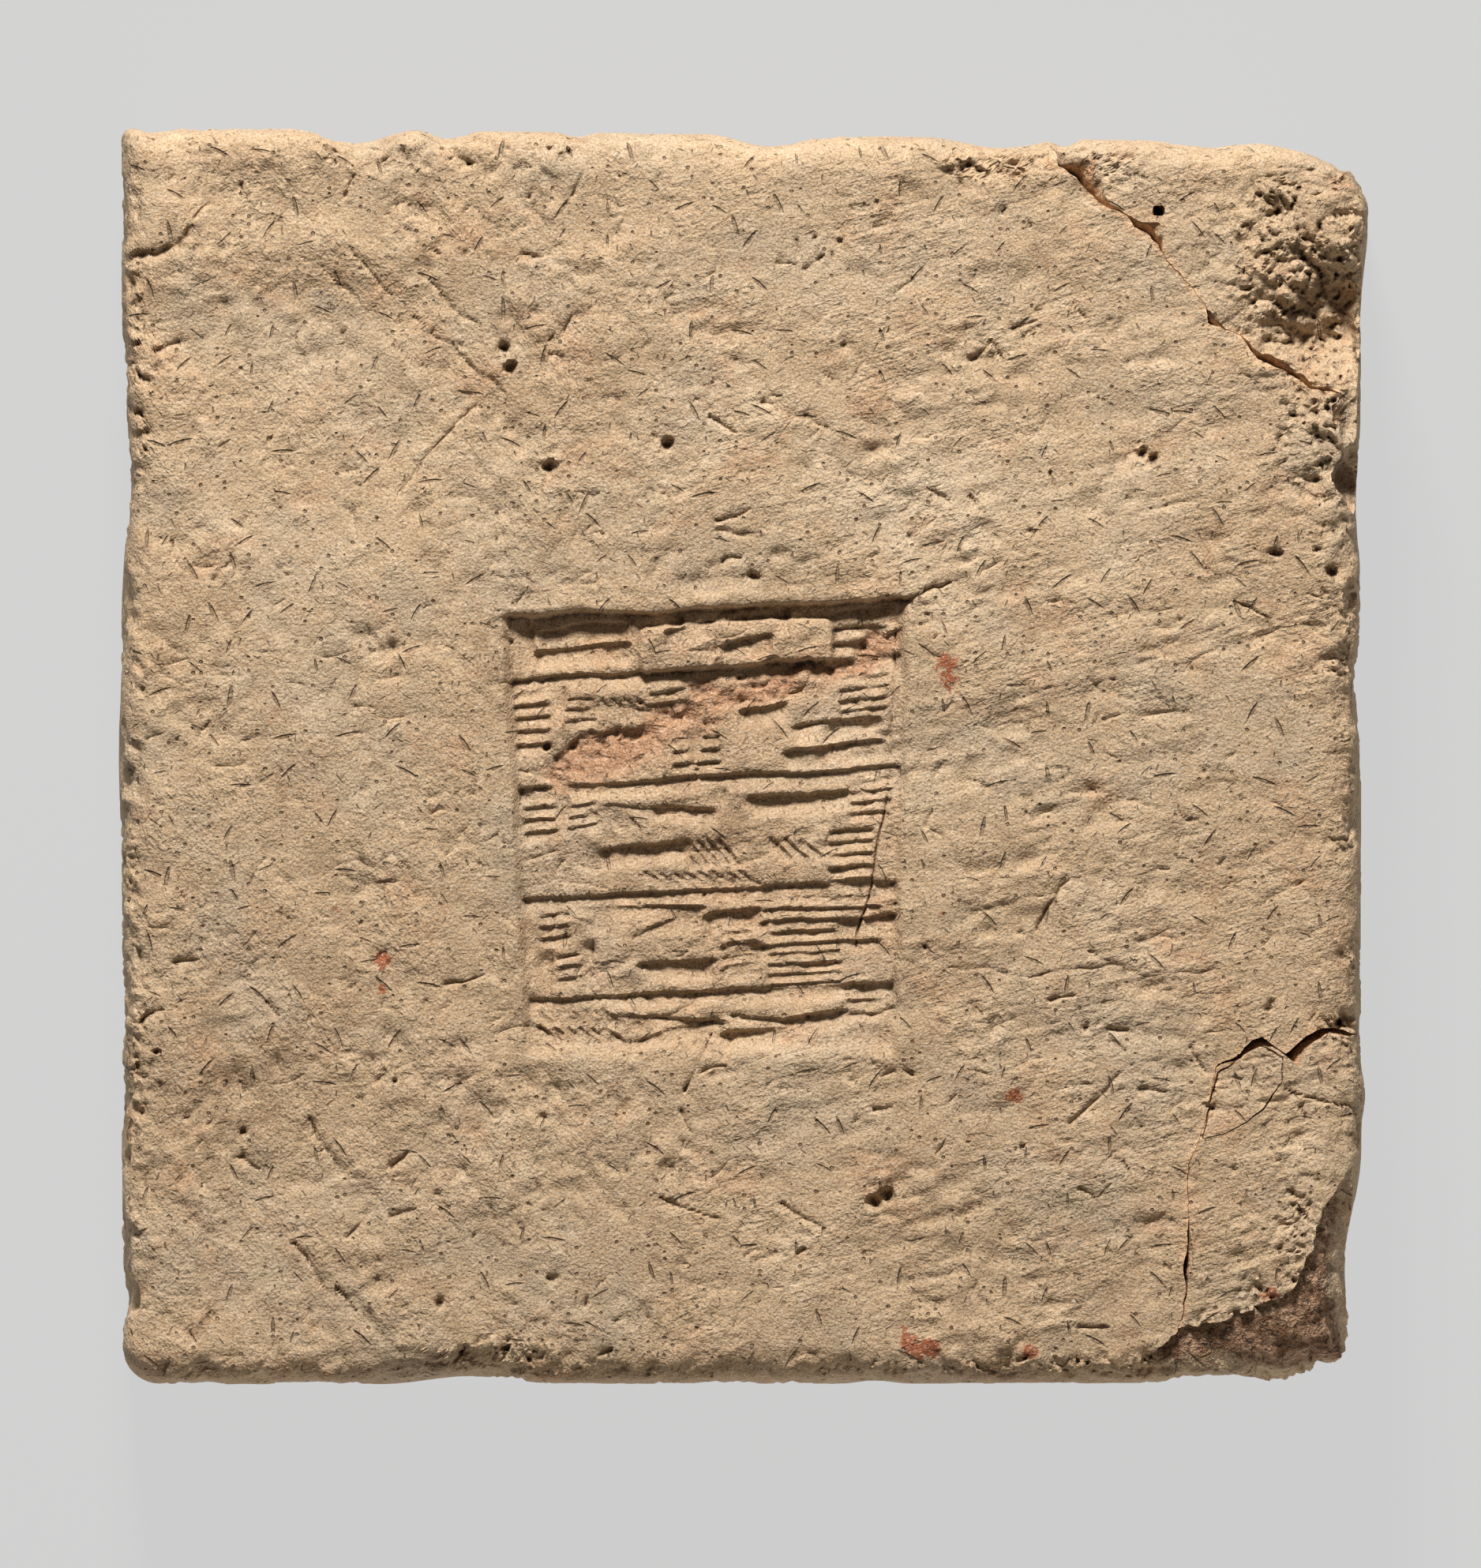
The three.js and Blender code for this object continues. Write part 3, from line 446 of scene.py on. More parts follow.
def outline(shares_across, shares_along):
    """The four worn sides, anticlockwise, each from the middle of one round corner to the middle of the
    next, at the given shares; the result is stretched to the full width and length."""
    corners = np.array([(-WIDTH, -LENGTH), (WIDTH, -LENGTH), (WIDTH, LENGTH), (-WIDTH, LENGTH)]) / 2
    runs = np.array([(1, 0), (0, 1), (-1, 0), (0, -1)])
    half = 1 - math.sqrt(0.5)
    parts = []
    for k, side in enumerate(SIDES):
        length = (WIDTH, LENGTH)[k % 2]
        shares = (shares_across, shares_along)[k % 2]
        shares = shares if k < 2 else 1 - shares[::-1]
        start_gap = side_inset(SIDES[k - 1], 1)
        end_gap = side_inset(SIDES[(k + 1) % 4], 0)
        start_radius, end_radius = CORNER_RADII[k], CORNER_RADII[(k + 1) % 4]
        start = start_gap + half * start_radius
        end = length - end_gap - half * end_radius
        along = start + (end - start) * shares[:-1]
        inset = side_inset(side, along / length)
        inset = inset + corner_inset(along - start_gap, start_radius)
        inset = inset + corner_inset(length - end_gap - along, end_radius)
        inward = np.array([-runs[k][1], runs[k][0]])
        parts.append(corners[k] + along[:, None] * runs[k] + inset[:, None] * inward)
    points = np.vstack(parts)
    low, high = points.min(0), points.max(0)
    return ((points - low) / (high - low) - 0.5) * (WIDTH, LENGTH)


def crowded_shares(count, middle, half_width):
    """Shares from 0 to 1 that lie closer together around the middle."""
    fine = np.linspace(0, 1, 2001)
    density = 1 + CROWDING * smooth_step(half_width + 0.05 - np.abs(fine - middle), 0, 0.05)
    reach = np.concatenate([[0], np.cumsum((density[1:] + density[:-1]) / 2)])
    return np.interp(np.linspace(0, 1, count + 1), reach / reach[-1], fine)


# The chart of the upper face: depths below the full thickness on a grid of places

def from_photo(across, down):
    """A place in the photograph's pixels as a place on the upper face."""
    return np.array([across - PHOTO_MIDDLE[0], PHOTO_MIDDLE[1] - down]) * PHOTO_MM_PER_PIXEL


class Chart:
    """Depths on a grid, with a slight warp of the places so that no line on it is ruler-straight."""

    def __init__(self):
        half = np.array([WIDTH, LENGTH]) / 2 + CHART_MARGIN
        self.xs = np.arange(-half[0], half[0], CHART_STEP)
        self.ys = np.arange(-half[1], half[1], CHART_STEP)
        shape = (len(self.ys), len(self.xs))
        self.depth = np.zeros(shape)
        inside = np.hypot((self.xs[None] - PANEL_MIDDLE[0]) / 62, (self.ys[:, None] - PANEL_MIDDLE[1]) / 66)
        calm = 0.4 + 0.6 * smooth_step(inside, 0.9, 1.3)
        self.warp = [calm * (0.5 * self.field(13, 11 + k) + 0.14 * self.field(3, 21 + k)) for k in range(2)]

    def field(self, size, seed, stretch=1.0, turn=0.0):
        return soft_field(self.depth.shape, CHART_STEP, size, seed, stretch, turn)

    def window(self, low, high):
        """The part of the grid between two corners: its slices and its warped places."""
        cols = slice(*np.clip(np.searchsorted(self.xs, (low[0], high[0])), 0, len(self.xs)))
        rows = slice(*np.clip(np.searchsorted(self.ys, (low[1], high[1])), 0, len(self.ys)))
        x = self.xs[None, cols] + self.warp[0][rows, cols]
        y = self.ys[:, None][rows] + self.warp[1][rows, cols]
        return (rows, cols), x, y

    def whole(self):
        return self.window((-1e9, -1e9), (1e9, 1e9))

    def sample(self, layer, x, y):
        """The layer's value at each place, by straight-line blending between the grid's points."""
        col = np.clip((x - self.xs[0]) / CHART_STEP, 0, len(self.xs) - 1.001)
        row = np.clip((y - self.ys[0]) / CHART_STEP, 0, len(self.ys) - 1.001)
        left, low = np.floor(col).astype(int), np.floor(row).astype(int)
        across, up = col - left, row - low
        near = layer[low, left] * (1 - across) + layer[low, left + 1] * across
        far = layer[low + 1, left] * (1 - across) + layer[low + 1, left + 1] * across
        return near * (1 - up) + far * up


def groove_shape(x, y, start, end, widths, skew=0.0, bow=0.0, sharpness=2.0):
    """Share of full depth of a groove: 1 on its deepest line, 0 at its edges and past its round ends. The
    distance across is measured in half widths from a deepest line that skew moves to the left."""
    start, end = np.asarray(start, float), np.asarray(end, float)
    length = max(np.hypot(*(end - start)), 1e-6)
    run = (end - start) / length
    along = (x - start[0]) * run[0] + (y - start[1]) * run[1]
    share = np.clip(along / length, 0, 1)
    across = -(x - start[0]) * run[1] + (y - start[1]) * run[0] - bow * 4 * share * (1 - share)
    half = (widths[0] + (widths[1] - widths[0]) * share) / 2
    off = across / half - 2 * skew
    off = np.where(off > 0, off / (1 - 2 * skew), off / (1 + 2 * skew))
    past = np.maximum(np.maximum(-along, along - length), 0) / half
    return 1 - np.clip(np.hypot(off, past), 0, 1) ** sharpness, share


def press_groove(chart, layer, start, end, widths, depths, **form):
    """Lowers a layer to a groove where the groove is deeper."""
    reach = max(widths) + abs(form.get("bow", 0)) + 2
    low, high = np.minimum(start, end) - reach, np.maximum(start, end) + reach
    spot, x, y = chart.window(low, high)
    shape, share = groove_shape(x, y, start, end, widths, **form)
    layer[spot] = np.maximum(layer[spot], shape * (depths[0] + (depths[1] - depths[0]) * share))


# Panel

def panel_place(across, down):
    """A place on the panel, given as shares across from its left and down from its far edge."""
    offset = across - 0.5
    width = PANEL_FAR["width"] + (PANEL_NEAR["width"] - PANEL_FAR["width"]) * down
    rise = PANEL_FAR["rise"] + (PANEL_NEAR["rise"] - PANEL_FAR["rise"]) * down
    x = PANEL_MIDDLE[0] + PANEL_LEAN * (down - 0.5) + offset * width
    y = PANEL_MIDDLE[1] - PANEL_HEIGHT * (down - 0.5) + offset * rise
    return np.array([x, y])


def panel_shares(x, y):
    """The inverse of panel_place, found by three rounds of correction."""
    down = 0.5 - (y - PANEL_MIDDLE[1]) / PANEL_HEIGHT
    for _ in range(3):
        width = PANEL_FAR["width"] + (PANEL_NEAR["width"] - PANEL_FAR["width"]) * down
        rise = PANEL_FAR["rise"] + (PANEL_NEAR["rise"] - PANEL_FAR["rise"]) * down
        across = (x - PANEL_MIDDLE[0] - PANEL_LEAN * (down - 0.5)) / width + 0.5
        down = 0.5 - (y - PANEL_MIDDLE[1] - (across - 0.5) * rise) / PANEL_HEIGHT
    return across, down


def stroke_layer(chart):
    """All pressed strokes of the panel, as depths below its floor."""
    layer = np.zeros_like(chart.depth)

    def stroke(start, end, start_size, end_size, **form):
        form = {"skew": STROKE_SKEW, "sharpness": 1.5, **form}
        widths, depths = zip(start_size, end_size)
        widths = [width * STROKE_SPREAD for width in widths]
        press_groove(chart, layer, panel_place(*start), panel_place(*end), widths, depths, **form)

    def scaled(size, share):
        return size[0] * share, size[1] * share

    for down in RULES:
        stroke((0.02, down + RULE_RISE), (0.98, down - RULE_RISE), RULE, RULE)
    for start, end, down in BARS:
        stroke((start, down), (end, down - RULE_RISE), BAR, BAR, sharpness=2.2)
    for start, end, start_down, end_down in NAILS:
        stroke((start, start_down), (end, end_down), scaled(BAR, NAIL_TAIL), BAR)
    for across, top, bottom in TICKS:
        stroke((across, top), (across, bottom), BAR, scaled(BAR, NAIL_TAIL))
    for combs, hatches, size in ((COMBS, HATCHES, TOOTH), (FAINT_COMBS, FAINT_HATCHES, FAINT)):
        for start, end, first, last, teeth in combs:
            for down in np.linspace(first, last, teeth):
                stroke((start, down), (end, down - RULE_RISE / 2), size, size)
        for start, end, top, bottom, count in hatches:
            for i in range(count):
                across = start + (end - start) * (i + 0.5) / count
                stroke((across - HATCH_LEAN, top), (across + HATCH_LEAN, bottom), size, size)
    return layer


def press_panel(chart):
    """The panel's sunk floor with its leaning walls and raised rim, its strokes, and the scar, whose floor
    drops along its upper edge and comes level at its lower one."""
    _, x, y = chart.whole()
    across, down = panel_shares(x, y)
    edge_x = (0.5 - np.abs(across - 0.5)) * PANEL_NEAR["width"]
    edge_y = (0.5 - np.abs(down - 0.5)) * PANEL_HEIGHT
    inside = np.minimum(edge_x, edge_y)
    depth = PANEL_FAR["depth"] + (PANEL_NEAR["depth"] - PANEL_FAR["depth"]) * np.clip(down, 0, 1)
    far_wall = smooth_step(down * PANEL_HEIGHT, -1.0, 0.6)
    near_wall = smooth_step((1 - down) * PANEL_HEIGHT, -2, 4)
    wall = far_wall * near_wall * smooth_step(edge_x, -1.4, 1.6)
    strokes = stroke_layer(chart) * smooth_step(inside, -0.5, 1.5)
    outer = -np.maximum(-inside, 0)
    rim = 0.5 * np.exp(-((outer + 2.4) / 1.8) ** 2) * (wall < 0.5) * np.where(down < 0, 1.4, 0.6)
    upper = np.interp(across, [e[0] for e in SCAR_EDGES], [e[1] for e in SCAR_EDGES])
    lower = np.interp(across, [e[0] for e in SCAR_EDGES], [e[2] for e in SCAR_EDGES])
    ragged = 0.014 * chart.field(9, 31) + 0.003 * chart.field(2.5, 32)
    inner = (down + ragged - upper) / np.maximum(lower - upper, 0.01)
    scar = smooth_step(inner, -0.04, 0.22) * (1 - smooth_step(inner, 0.45, 1.15))
    scar = scar * smooth_step(across, 0.03, 0.12) * smooth_step(1.03 - across, 0, 0.06)
    torn = SCAR_DEPTH * (1 - 0.6 * inner) + 0.35 * chart.field(4, 33) + 0.25 * chart.field(1.6, 34)
    off = [np.abs(share - np.mean(PAD[key])) - np.ptp(PAD[key]) / 2
           for key, share in (("across", across), ("down", down))]
    off = np.array(off) * np.array([PANEL_NEAR["width"], PANEL_HEIGHT])[:, None, None] + 2
    far = np.hypot(*np.maximum(off, 0)) + np.minimum(off.max(0), 0) - 2
    pad = PAD["rise"] * (1 - smooth_step(far, -0.6, 0.5)) * (1 - smooth_step(inner, -0.3, 0.1))
    floor = strokes * (1 - 0.75 * scar) + scar * torn - pad
    swell = 0.16 * chart.field(11, 35) * wall
    chart.depth += wall * (depth + floor) - rim + swell
    chart.scar = scar * wall
    chart.panel = wall


# Straw, pits and wear of the upper face

def random_sizes(rng, count, middle, spread, least, most):
    """Sizes whose logarithms are bell-shaped, held between the least and the most."""
    return np.clip(rng.lognormal(middle, spread, count), least, most)


def press_straw(chart, layer):
    """Marks of burnt-out straw: those named from the photograph and many more thrown at random, short
    ones by far the most common."""
    rng = np.random.default_rng(5)
    for start_across, start_down, end_across, end_down in STRAW_MARKS:
        start, end = from_photo(start_across, start_down), from_photo(end_across, end_down)
        width = rng.uniform(*STRAW_MARK_WIDTHS)
        bow = rng.normal(0, 0.05) * np.hypot(*(end - start))
        widths = width, width * rng.uniform(0.4, 0.9)
        press_groove(chart, layer, start, end, widths, STRAW_MARK_DEPTHS, bow=bow)
    middles = rng.uniform((-WIDTH / 2, -LENGTH / 2), (WIDTH / 2, LENGTH / 2), (STRAW_COUNT, 2))
    lengths = random_sizes(rng, STRAW_COUNT, *STRAW_LENGTHS)
    turns = rng.uniform(0, math.pi, STRAW_COUNT)
    widths = random_sizes(rng, STRAW_COUNT, *STRAW_WIDTHS)
    for middle, length, turn, width in zip(middles, lengths, turns, widths):
        if chart.sample(chart.panel, *middle) > 0.5:
            continue
        reach = np.array([math.cos(turn), math.sin(turn)]) * length / 2
        depth = rng.uniform(0.5, 0.9) * min(width, 1.1)
        press_groove(chart, layer, middle - reach, middle + reach, (width, width * rng.uniform(0.3, 1)),
                     (depth, depth * 0.7), bow=rng.normal(0, 0.06) * length)


def press_pits(chart, layer):
    """Small round pits, deep for their width, where grit and seeds fell out."""
    rng = np.random.default_rng(6)
    for _ in range(PIT_COUNT):
        middle = rng.uniform((-WIDTH / 2, -LENGTH / 2), (WIDTH / 2, LENGTH / 2))
        size = float(random_sizes(rng, None, *PIT_SIZES))
        reach = rng.uniform(-0.4, 0.4, 2) * size
        press_groove(chart, layer, middle - reach, middle + reach, (size, size), (size * 0.7, size * 0.5))
    for across, down, size in PITS:
        middle = from_photo(across, down)
        press_groove(chart, layer, middle, middle + (0.3, 0.2), (size, size), (size * 0.9, size * 0.8))


def press_folds(chart, layer):
    """Long creases: clay folded over in the mould, and fine drying cracks."""
    rng = np.random.default_rng(8)
    for points, width, depth in FOLDS:
        places = [from_photo(*point) for point in points]
        for start, end in zip(places, places[1:]):
            run = end - start
            count = max(int(np.hypot(*run) / 3), 1)
            steps = [start + run * k / count + rng.normal(0, 0.25, 2) * (0 < k < count)
                     for k in range(count + 1)]
            for first, last in zip(steps, steps[1:]):
                press_groove(chart, layer, first, last, (width, width), (depth, depth),
                             skew=0.2, sharpness=1.4)


def crumbling(chart, x, y):
    """Lumps with sharp valleys between them, in the crumbling zones and in a band along the edges: each
    octave is the mean size of two noises, so its valleys run where either one changes sign."""
    flat = np.c_[x.ravel(), y.ravel()]
    edge = side_gap(flat).reshape(x.shape)
    strength = EDGE_CRUMBS * (1 - smooth_step(edge, *EDGE_BAND)) * (0.6 + 0.4 * chart.field(22, 61))
    for (across, down), (half_x, half_y), height in CRUMBLING:
        middle = from_photo(across, down)
        strength = strength + height * bump(np.hypot((x - middle[0]) / half_x, (y - middle[1]) / half_y), 1)
    lumps = 0
    for k, (size, height) in enumerate(CRUMB_SIZES):
        drawn_out = chart.field(size, 62 + k, *CRUMB_STRETCH)
        lumps = lumps + height * (np.sqrt(np.abs(drawn_out * chart.field(size, 82 + k))) - 0.7)
    holes = 0.9 * np.maximum(chart.field(2.0, 69) - 0.9, 0)
    return np.clip(strength, 0, 3) * (0.3 + holes - lumps)


def upper_chart():
    """The whole relief of the upper face."""
    chart = Chart()
    _, x, y = chart.whole()
    depth = 0.8 * (1 + np.sin(x / 52 + 0.6) * np.cos(y / 52 - 0.4)) / 2
    for (middle_x, middle_y), (sideways, far, near), hollow in TOP_HOLLOWS:
        reach = np.where(y > middle_y, far, near)
        depth += hollow * bump(np.hypot((x - middle_x) / sideways, (y - middle_y) / reach), 1)
    for (across, down), half, rise in DIMPLES:
        middle = from_photo(across, down)
        depth += rise * bump(np.hypot(x - middle[0], y - middle[1]), half)
    left = smooth_step(-x, -40, 60)
    wiped, broad, streaks = (
        sum(share * chart.field(size, seed, stretch, math.radians(turn))
            for share, (seed, stretch, turn) in ((left, on_left), (1 - left, on_right)))
        for size, on_left, on_right in SMEARS)
    patchy = 0.45 + smooth_step(chart.field(24, 52), -0.5, 1.3)
    depth += 0.35 * chart.field(26, 45) + 0.16 * broad + patchy * (0.13 * wiped + 0.06 * streaks)
    depth += patchy * (0.26 * chart.field(6, 46) + 0.09 * chart.field(3.2, 51))
    torn = smooth_step(chart.field(13, 53), 0.3, 1.0)
    depth += 0.5 * torn * (np.exp(-(chart.field(7, 54, 2.2, 0.2) / 0.16) ** 2))
    trough = bump(LENGTH / 2 - y - RIM_TROUGH_INSET, RIM_TROUGH_REACH)
    depth += np.interp(x, *np.array(RIM_TROUGH).T) * trough
    chart.depth += depth * np.ones_like(chart.depth)
    press_panel(chart)
    marks = np.zeros_like(depth)
    press_folds(chart, marks)
    press_straw(chart, marks)
    press_pits(chart, marks)
    chart.depth += marks + 0.05 * chart.field(2.2, 47) + crumbling(chart, x, y)
    chart.depth = np.maximum(chart.depth, 0.02)
    # How far each place lies below its softened surroundings; the material paints shade into hollows by it
    chart.hollow = np.maximum(chart.depth - softened(chart.depth, 3.5), 0)
    return chart


# Meshes

def make_mesh(name, points, triangles):
    """A mesh object at the origin, from places in millimetres and triangles."""
    mesh = bpy.data.meshes.new(name)
    mesh.vertices.add(len(points))
    mesh.vertices.foreach_set("co", np.asarray(points * MM, np.float32).ravel())
    mesh.loops.add(len(triangles) * 3)
    mesh.loops.foreach_set("vertex_index", np.asarray(triangles, np.int32).ravel())
    mesh.polygons.add(len(triangles))
    mesh.polygons.foreach_set("loop_start", np.arange(0, len(triangles) * 3, 3, dtype=np.int32))
    mesh.update(calc_edges=True)
    shown = bpy.data.objects.new(name, mesh)
    bpy.context.scene.collection.objects.link(shown)
    return shown


def band(lower, upper):
    """Triangles between two closed rings of point numbers, the lower one with as many points or half."""
    after = np.roll(upper, -1)
    if len(lower) == len(upper):
        below = np.roll(lower, -1)
        return np.vstack([np.c_[lower, below, after], np.c_[lower, after, upper]])
    low, low_after = lower, np.roll(lower, -1)
    first, middle, last = upper[0::2], upper[1::2], np.roll(upper, -2)[0::2]
    return np.vstack([np.c_[low, middle, first], np.c_[low, low_after, middle],
                      np.c_[low_after, last, middle]])


def side_levels():
    """Insets and heights down the rounded edge and the side, close together near the top, with the
    direction that faces out of the profile at each."""
    knots = np.array(SIDE_PROFILE, float)
    reach = np.concatenate([[0], np.cumsum(np.hypot(*np.diff(knots, axis=0).T))])
    fine = np.linspace(0, reach[-1], 1200)
    inset, height = (np.interp(fine, reach, knots[:, k]) for k in range(2))
    soften = np.hanning(61) / np.hanning(61).sum()
    padded = [np.concatenate([2 * line[0] - line[60:0:-1], line, 2 * line[-1] - line[-2:-62:-1]])
              for line in (inset, height)]
    inset, height = (np.convolve(line, soften, "same")[60:-60] for line in padded)
    outward = -np.c_[np.gradient(height), np.gradient(inset)]
    outward /= np.hypot(*outward.T)[:, None]
    near = np.arange(0, FINE_REACH, FINE_STEP)
    far = np.linspace(FINE_REACH, reach[-1], int((reach[-1] - FINE_REACH) / COARSE_STEP))
    at = np.concatenate([near, far])
    wear = smooth_step(fine, 0, 7)
    columns = (inset, THICKNESS + height, outward[:, 0] * wear, outward[:, 1] * wear)
    return np.column_stack([np.interp(at, fine, column) for column in columns]), len(near)


def whole_brick(chart):
    """The unbroken brick. Its upper face fills the rings' first outline by blending the four sides across
    each other; the rings run down the profile and shrink towards the middle of the outline, and from the
    end of the fine steps on they have half as many points."""
    across = crowded_shares(SIDE_POINTS, *CROWDED_ACROSS)
    along = crowded_shares(SIDE_POINTS, *CROWDED_ALONG)
    edge = outline(across, along)
    count = SIDE_POINTS
    levels, fine_count = side_levels()
    top = edge * (1 - levels[0, 0] / np.array([WIDTH / 2, LENGTH / 2]))
    near, right = top[:count + 1], top[count:2 * count + 1]
    far, left = top[2 * count:3 * count + 1][::-1], np.vstack([top[3 * count:], top[:1]])[::-1]
    u, v = across[None, :, None], along[:, None, None]
    face = (1 - v) * near[None] + v * far[None] + (1 - u) * left[:, None] + u * right[:, None]
    face -= (1 - u) * (1 - v) * near[0] + u * (1 - v) * near[-1] + (1 - u) * v * far[0] + u * v * far[-1]
    flat = face.reshape(-1, 2)
    points = [np.c_[flat, THICKNESS - chart.sample(chart.depth, flat[:, 0], flat[:, 1])]]
    number = np.arange((count + 1) ** 2).reshape(count + 1, count + 1)
    low_left, low_right, high_right, high_left = (
        number[:-1, :-1].ravel(), number[:-1, 1:].ravel(), number[1:, 1:].ravel(), number[1:, :-1].ravel())
    triangles = [np.c_[low_left, low_right, high_right], np.c_[low_left, high_right, high_left]]
    ring = np.concatenate([number[0, :-1], number[:-1, -1], number[-1, :0:-1], number[:0:-1, 0]])
    total = len(flat)
    for k, (inset, height, out, up) in enumerate(levels[1:], 1):
        base = edge if k < fine_count else edge[::2]
        place = base * (1 - inset / np.array([WIDTH / 2, LENGTH / 2]))
        place = np.c_[place, np.full(len(place), height)]
        worn = side_wear(place)
        run = np.roll(place[:, :2], -1, 0) - np.roll(place[:, :2], 1, 0)
        direction = np.c_[run[:, 1], -run[:, 0]] / np.hypot(*run.T)[:, None]
        place[:, :2] -= direction * (worn * out)[:, None]
        place[:, 2] -= worn * up
        fade = smooth_step(height, THICKNESS - 9, THICKNESS)
        place[:, 2] -= fade * chart.sample(chart.depth, place[:, 0], place[:, 1])
        place[:, 2] = np.clip(place[:, 2], 0, THICKNESS)
        below = np.arange(total, total + len(place))
        triangles.append(band(below, ring))
        points.append(place)
        total += len(place)
        ring = below
    first = (1 - UNDERSIDE_INSET / (WIDTH / 2)) / (1 - levels[-1, 0] / (WIDTH / 2))
    for shrink in (first, *[UNDERSIDE_SHRINK] * (UNDERSIDE_RINGS - 1)):
        place = points[-1][::2, :2] * shrink
        below = np.arange(total, total + len(place))
        triangles.append(band(below, ring))
        points.append(np.c_[place, np.zeros(len(place))])
        total += len(place)
        ring = below
    points.append(np.zeros((1, 3)))
    triangles.append(np.c_[np.roll(ring, -1), ring, np.full(len(ring), total)])
    return np.vstack(points), np.vstack(triangles)


def side_wear(place):
    """How far the sides are worn in at each place: broad waves and rough clay, and small bites out of the
    edges where a coarse noise is high."""
    upright = place * (1, 1, 0.4)
    wear = 0.5 * (1 + lattice_noise(place, 42, 61)) + rough(upright, 13, 1.3, 62, 2)
    crumbs = sum(depth * np.abs(lattice_noise(upright, size, 66 + k))
                 for k, (size, depth) in enumerate(SIDE_CRUMBS))
    bites = np.maximum(lattice_noise(place, 9, 71) + 0.4 * lattice_noise(place, 4, 72) - 0.4, 0)
    near_edge = bump(place[:, 2] - (THICKNESS - 4), 12) + 0.6 * bump(place[:, 2], 12)
    return np.maximum(0.5 + wear - crumbs + 4 * bites * near_edge, 0.02)


# Cutters

def resampled(line, step):
    """The line's columns at even steps along it."""
    line = np.array(line, float)
    reach = np.concatenate([[0], np.cumsum(np.hypot(*np.diff(line[:, :2], axis=0).T))])
    at = np.linspace(0, reach[-1], int(reach[-1] / step))
    return np.column_stack([np.interp(at, reach, line[:, k]) for k in range(line.shape[1])])


def cut_levels(bottom):
    """Heights from bottom to just above the top, closer together near the top."""
    top, near_top = THICKNESS + 4, THICKNESS - 24
    return np.concatenate([np.arange(bottom, near_top, 2.0), np.arange(near_top, top, 0.8), [top]])


def stacked(rings):
    """The point numbers of closed rings stacked upwards, and the triangles between the rings."""
    levels, count = rings.shape[:2]
    number = np.arange(levels * count).reshape(levels, count)
    return number, [band(number[k], number[k + 1]) for k in range(levels - 1)]


def crack_sheet(line, end, seed):
    """A ribbon through the brick along the crack. Both walls share a slow wander and each has its own
    roughness; the gap between them is narrow below and opens towards the top."""
    knots = resampled(line, 0.7)
    heights = cut_levels(-4)
    x = WIDTH / 2 - knots[:, 0]
    y = end * (LENGTH / 2 - knots[:, 1])
    lean = CRACK_LEAN * (heights - THICKNESS)
    grid = np.stack(np.broadcast_arrays(
        x[None] + lean[:, None], y[None] + end * lean[:, None], heights[:, None]), axis=-1)
    flat = grid.reshape(-1, 3)
    wander = (rough(flat, 11, 0.8, seed) * smooth_step(THICKNESS - flat[:, 2], 0, 10)
              + rough(flat, 3.5, 0.55, seed + 5, 3)).reshape(grid.shape[:2])
    open_share = np.clip(1 - (THICKNESS - heights) / CRACK_OPENING_DEPTH, 0, None)[:, None] ** 2.2
    uneven = rough(flat, 4, 0.35, seed + 9, 3).reshape(grid.shape[:2])
    opening = np.maximum(knots[None, :, 2] - CRACK_CLOSED, 0) * open_share * (1 + uneven)
    gap = CRACK_GAP + opening + np.maximum(0.3 * uneven, -0.04)
    away = np.array([1, end]) * math.sqrt(0.5)
    body_wall = grid.copy()
    body_wall[..., :2] += wander[..., None] * away
    other_wall = grid.copy()
    other_wall[..., :2] += (wander + gap)[..., None] * away
    return closed_tube(np.concatenate([body_wall, other_wall[:, ::-1]], axis=1))


def closed_tube(rings):
    """Closed rings stacked upwards, with caps that join each ring's first half to its second."""
    number, parts = stacked(rings)
    half = number.shape[1] // 2
    for row, flip in ((number[0], True), (number[-1], False)):
        a, b = row[:half - 1], row[1:half]
        d, c = row[:half - 1:-1][:half - 1], row[:half - 1:-1][1:half]
        cap = np.vstack([np.c_[a, b, c], np.c_[a, c, d]])
        parts.append(cap[:, ::-1] if flip else cap)
    return rings.reshape(-1, 3), np.vstack(parts)


def fan_tube(rings, hub):
    """Closed rings stacked upwards, anticlockwise, each end closed by a fan from the point number hub."""
    number, parts = stacked(rings)
    count = number.shape[1]
    others = (hub + 1 + np.arange(count - 2)) % count
    for row, flip in ((number[0], True), (number[-1], False)):
        cap = np.c_[np.full(count - 2, row[hub]), row[others], row[(others + 1) % count]]
        parts.append(cap[:, ::-1] if flip else cap)
    return rings.reshape(-1, 3), np.vstack(parts)


def hub_tube(rings, ends):
    """Closed rings stacked upwards, each end closed by a fan from its own point."""
    number, parts = stacked(rings)
    first, last = number[0], number[-1]
    parts.append(np.c_[np.roll(first, -1), first, np.full(len(first), number.size)])
    parts.append(np.c_[last, np.roll(last, -1), np.full(len(last), number.size + 1)])
    return np.vstack([rings.reshape(-1, 3), ends]), np.vstack(parts)


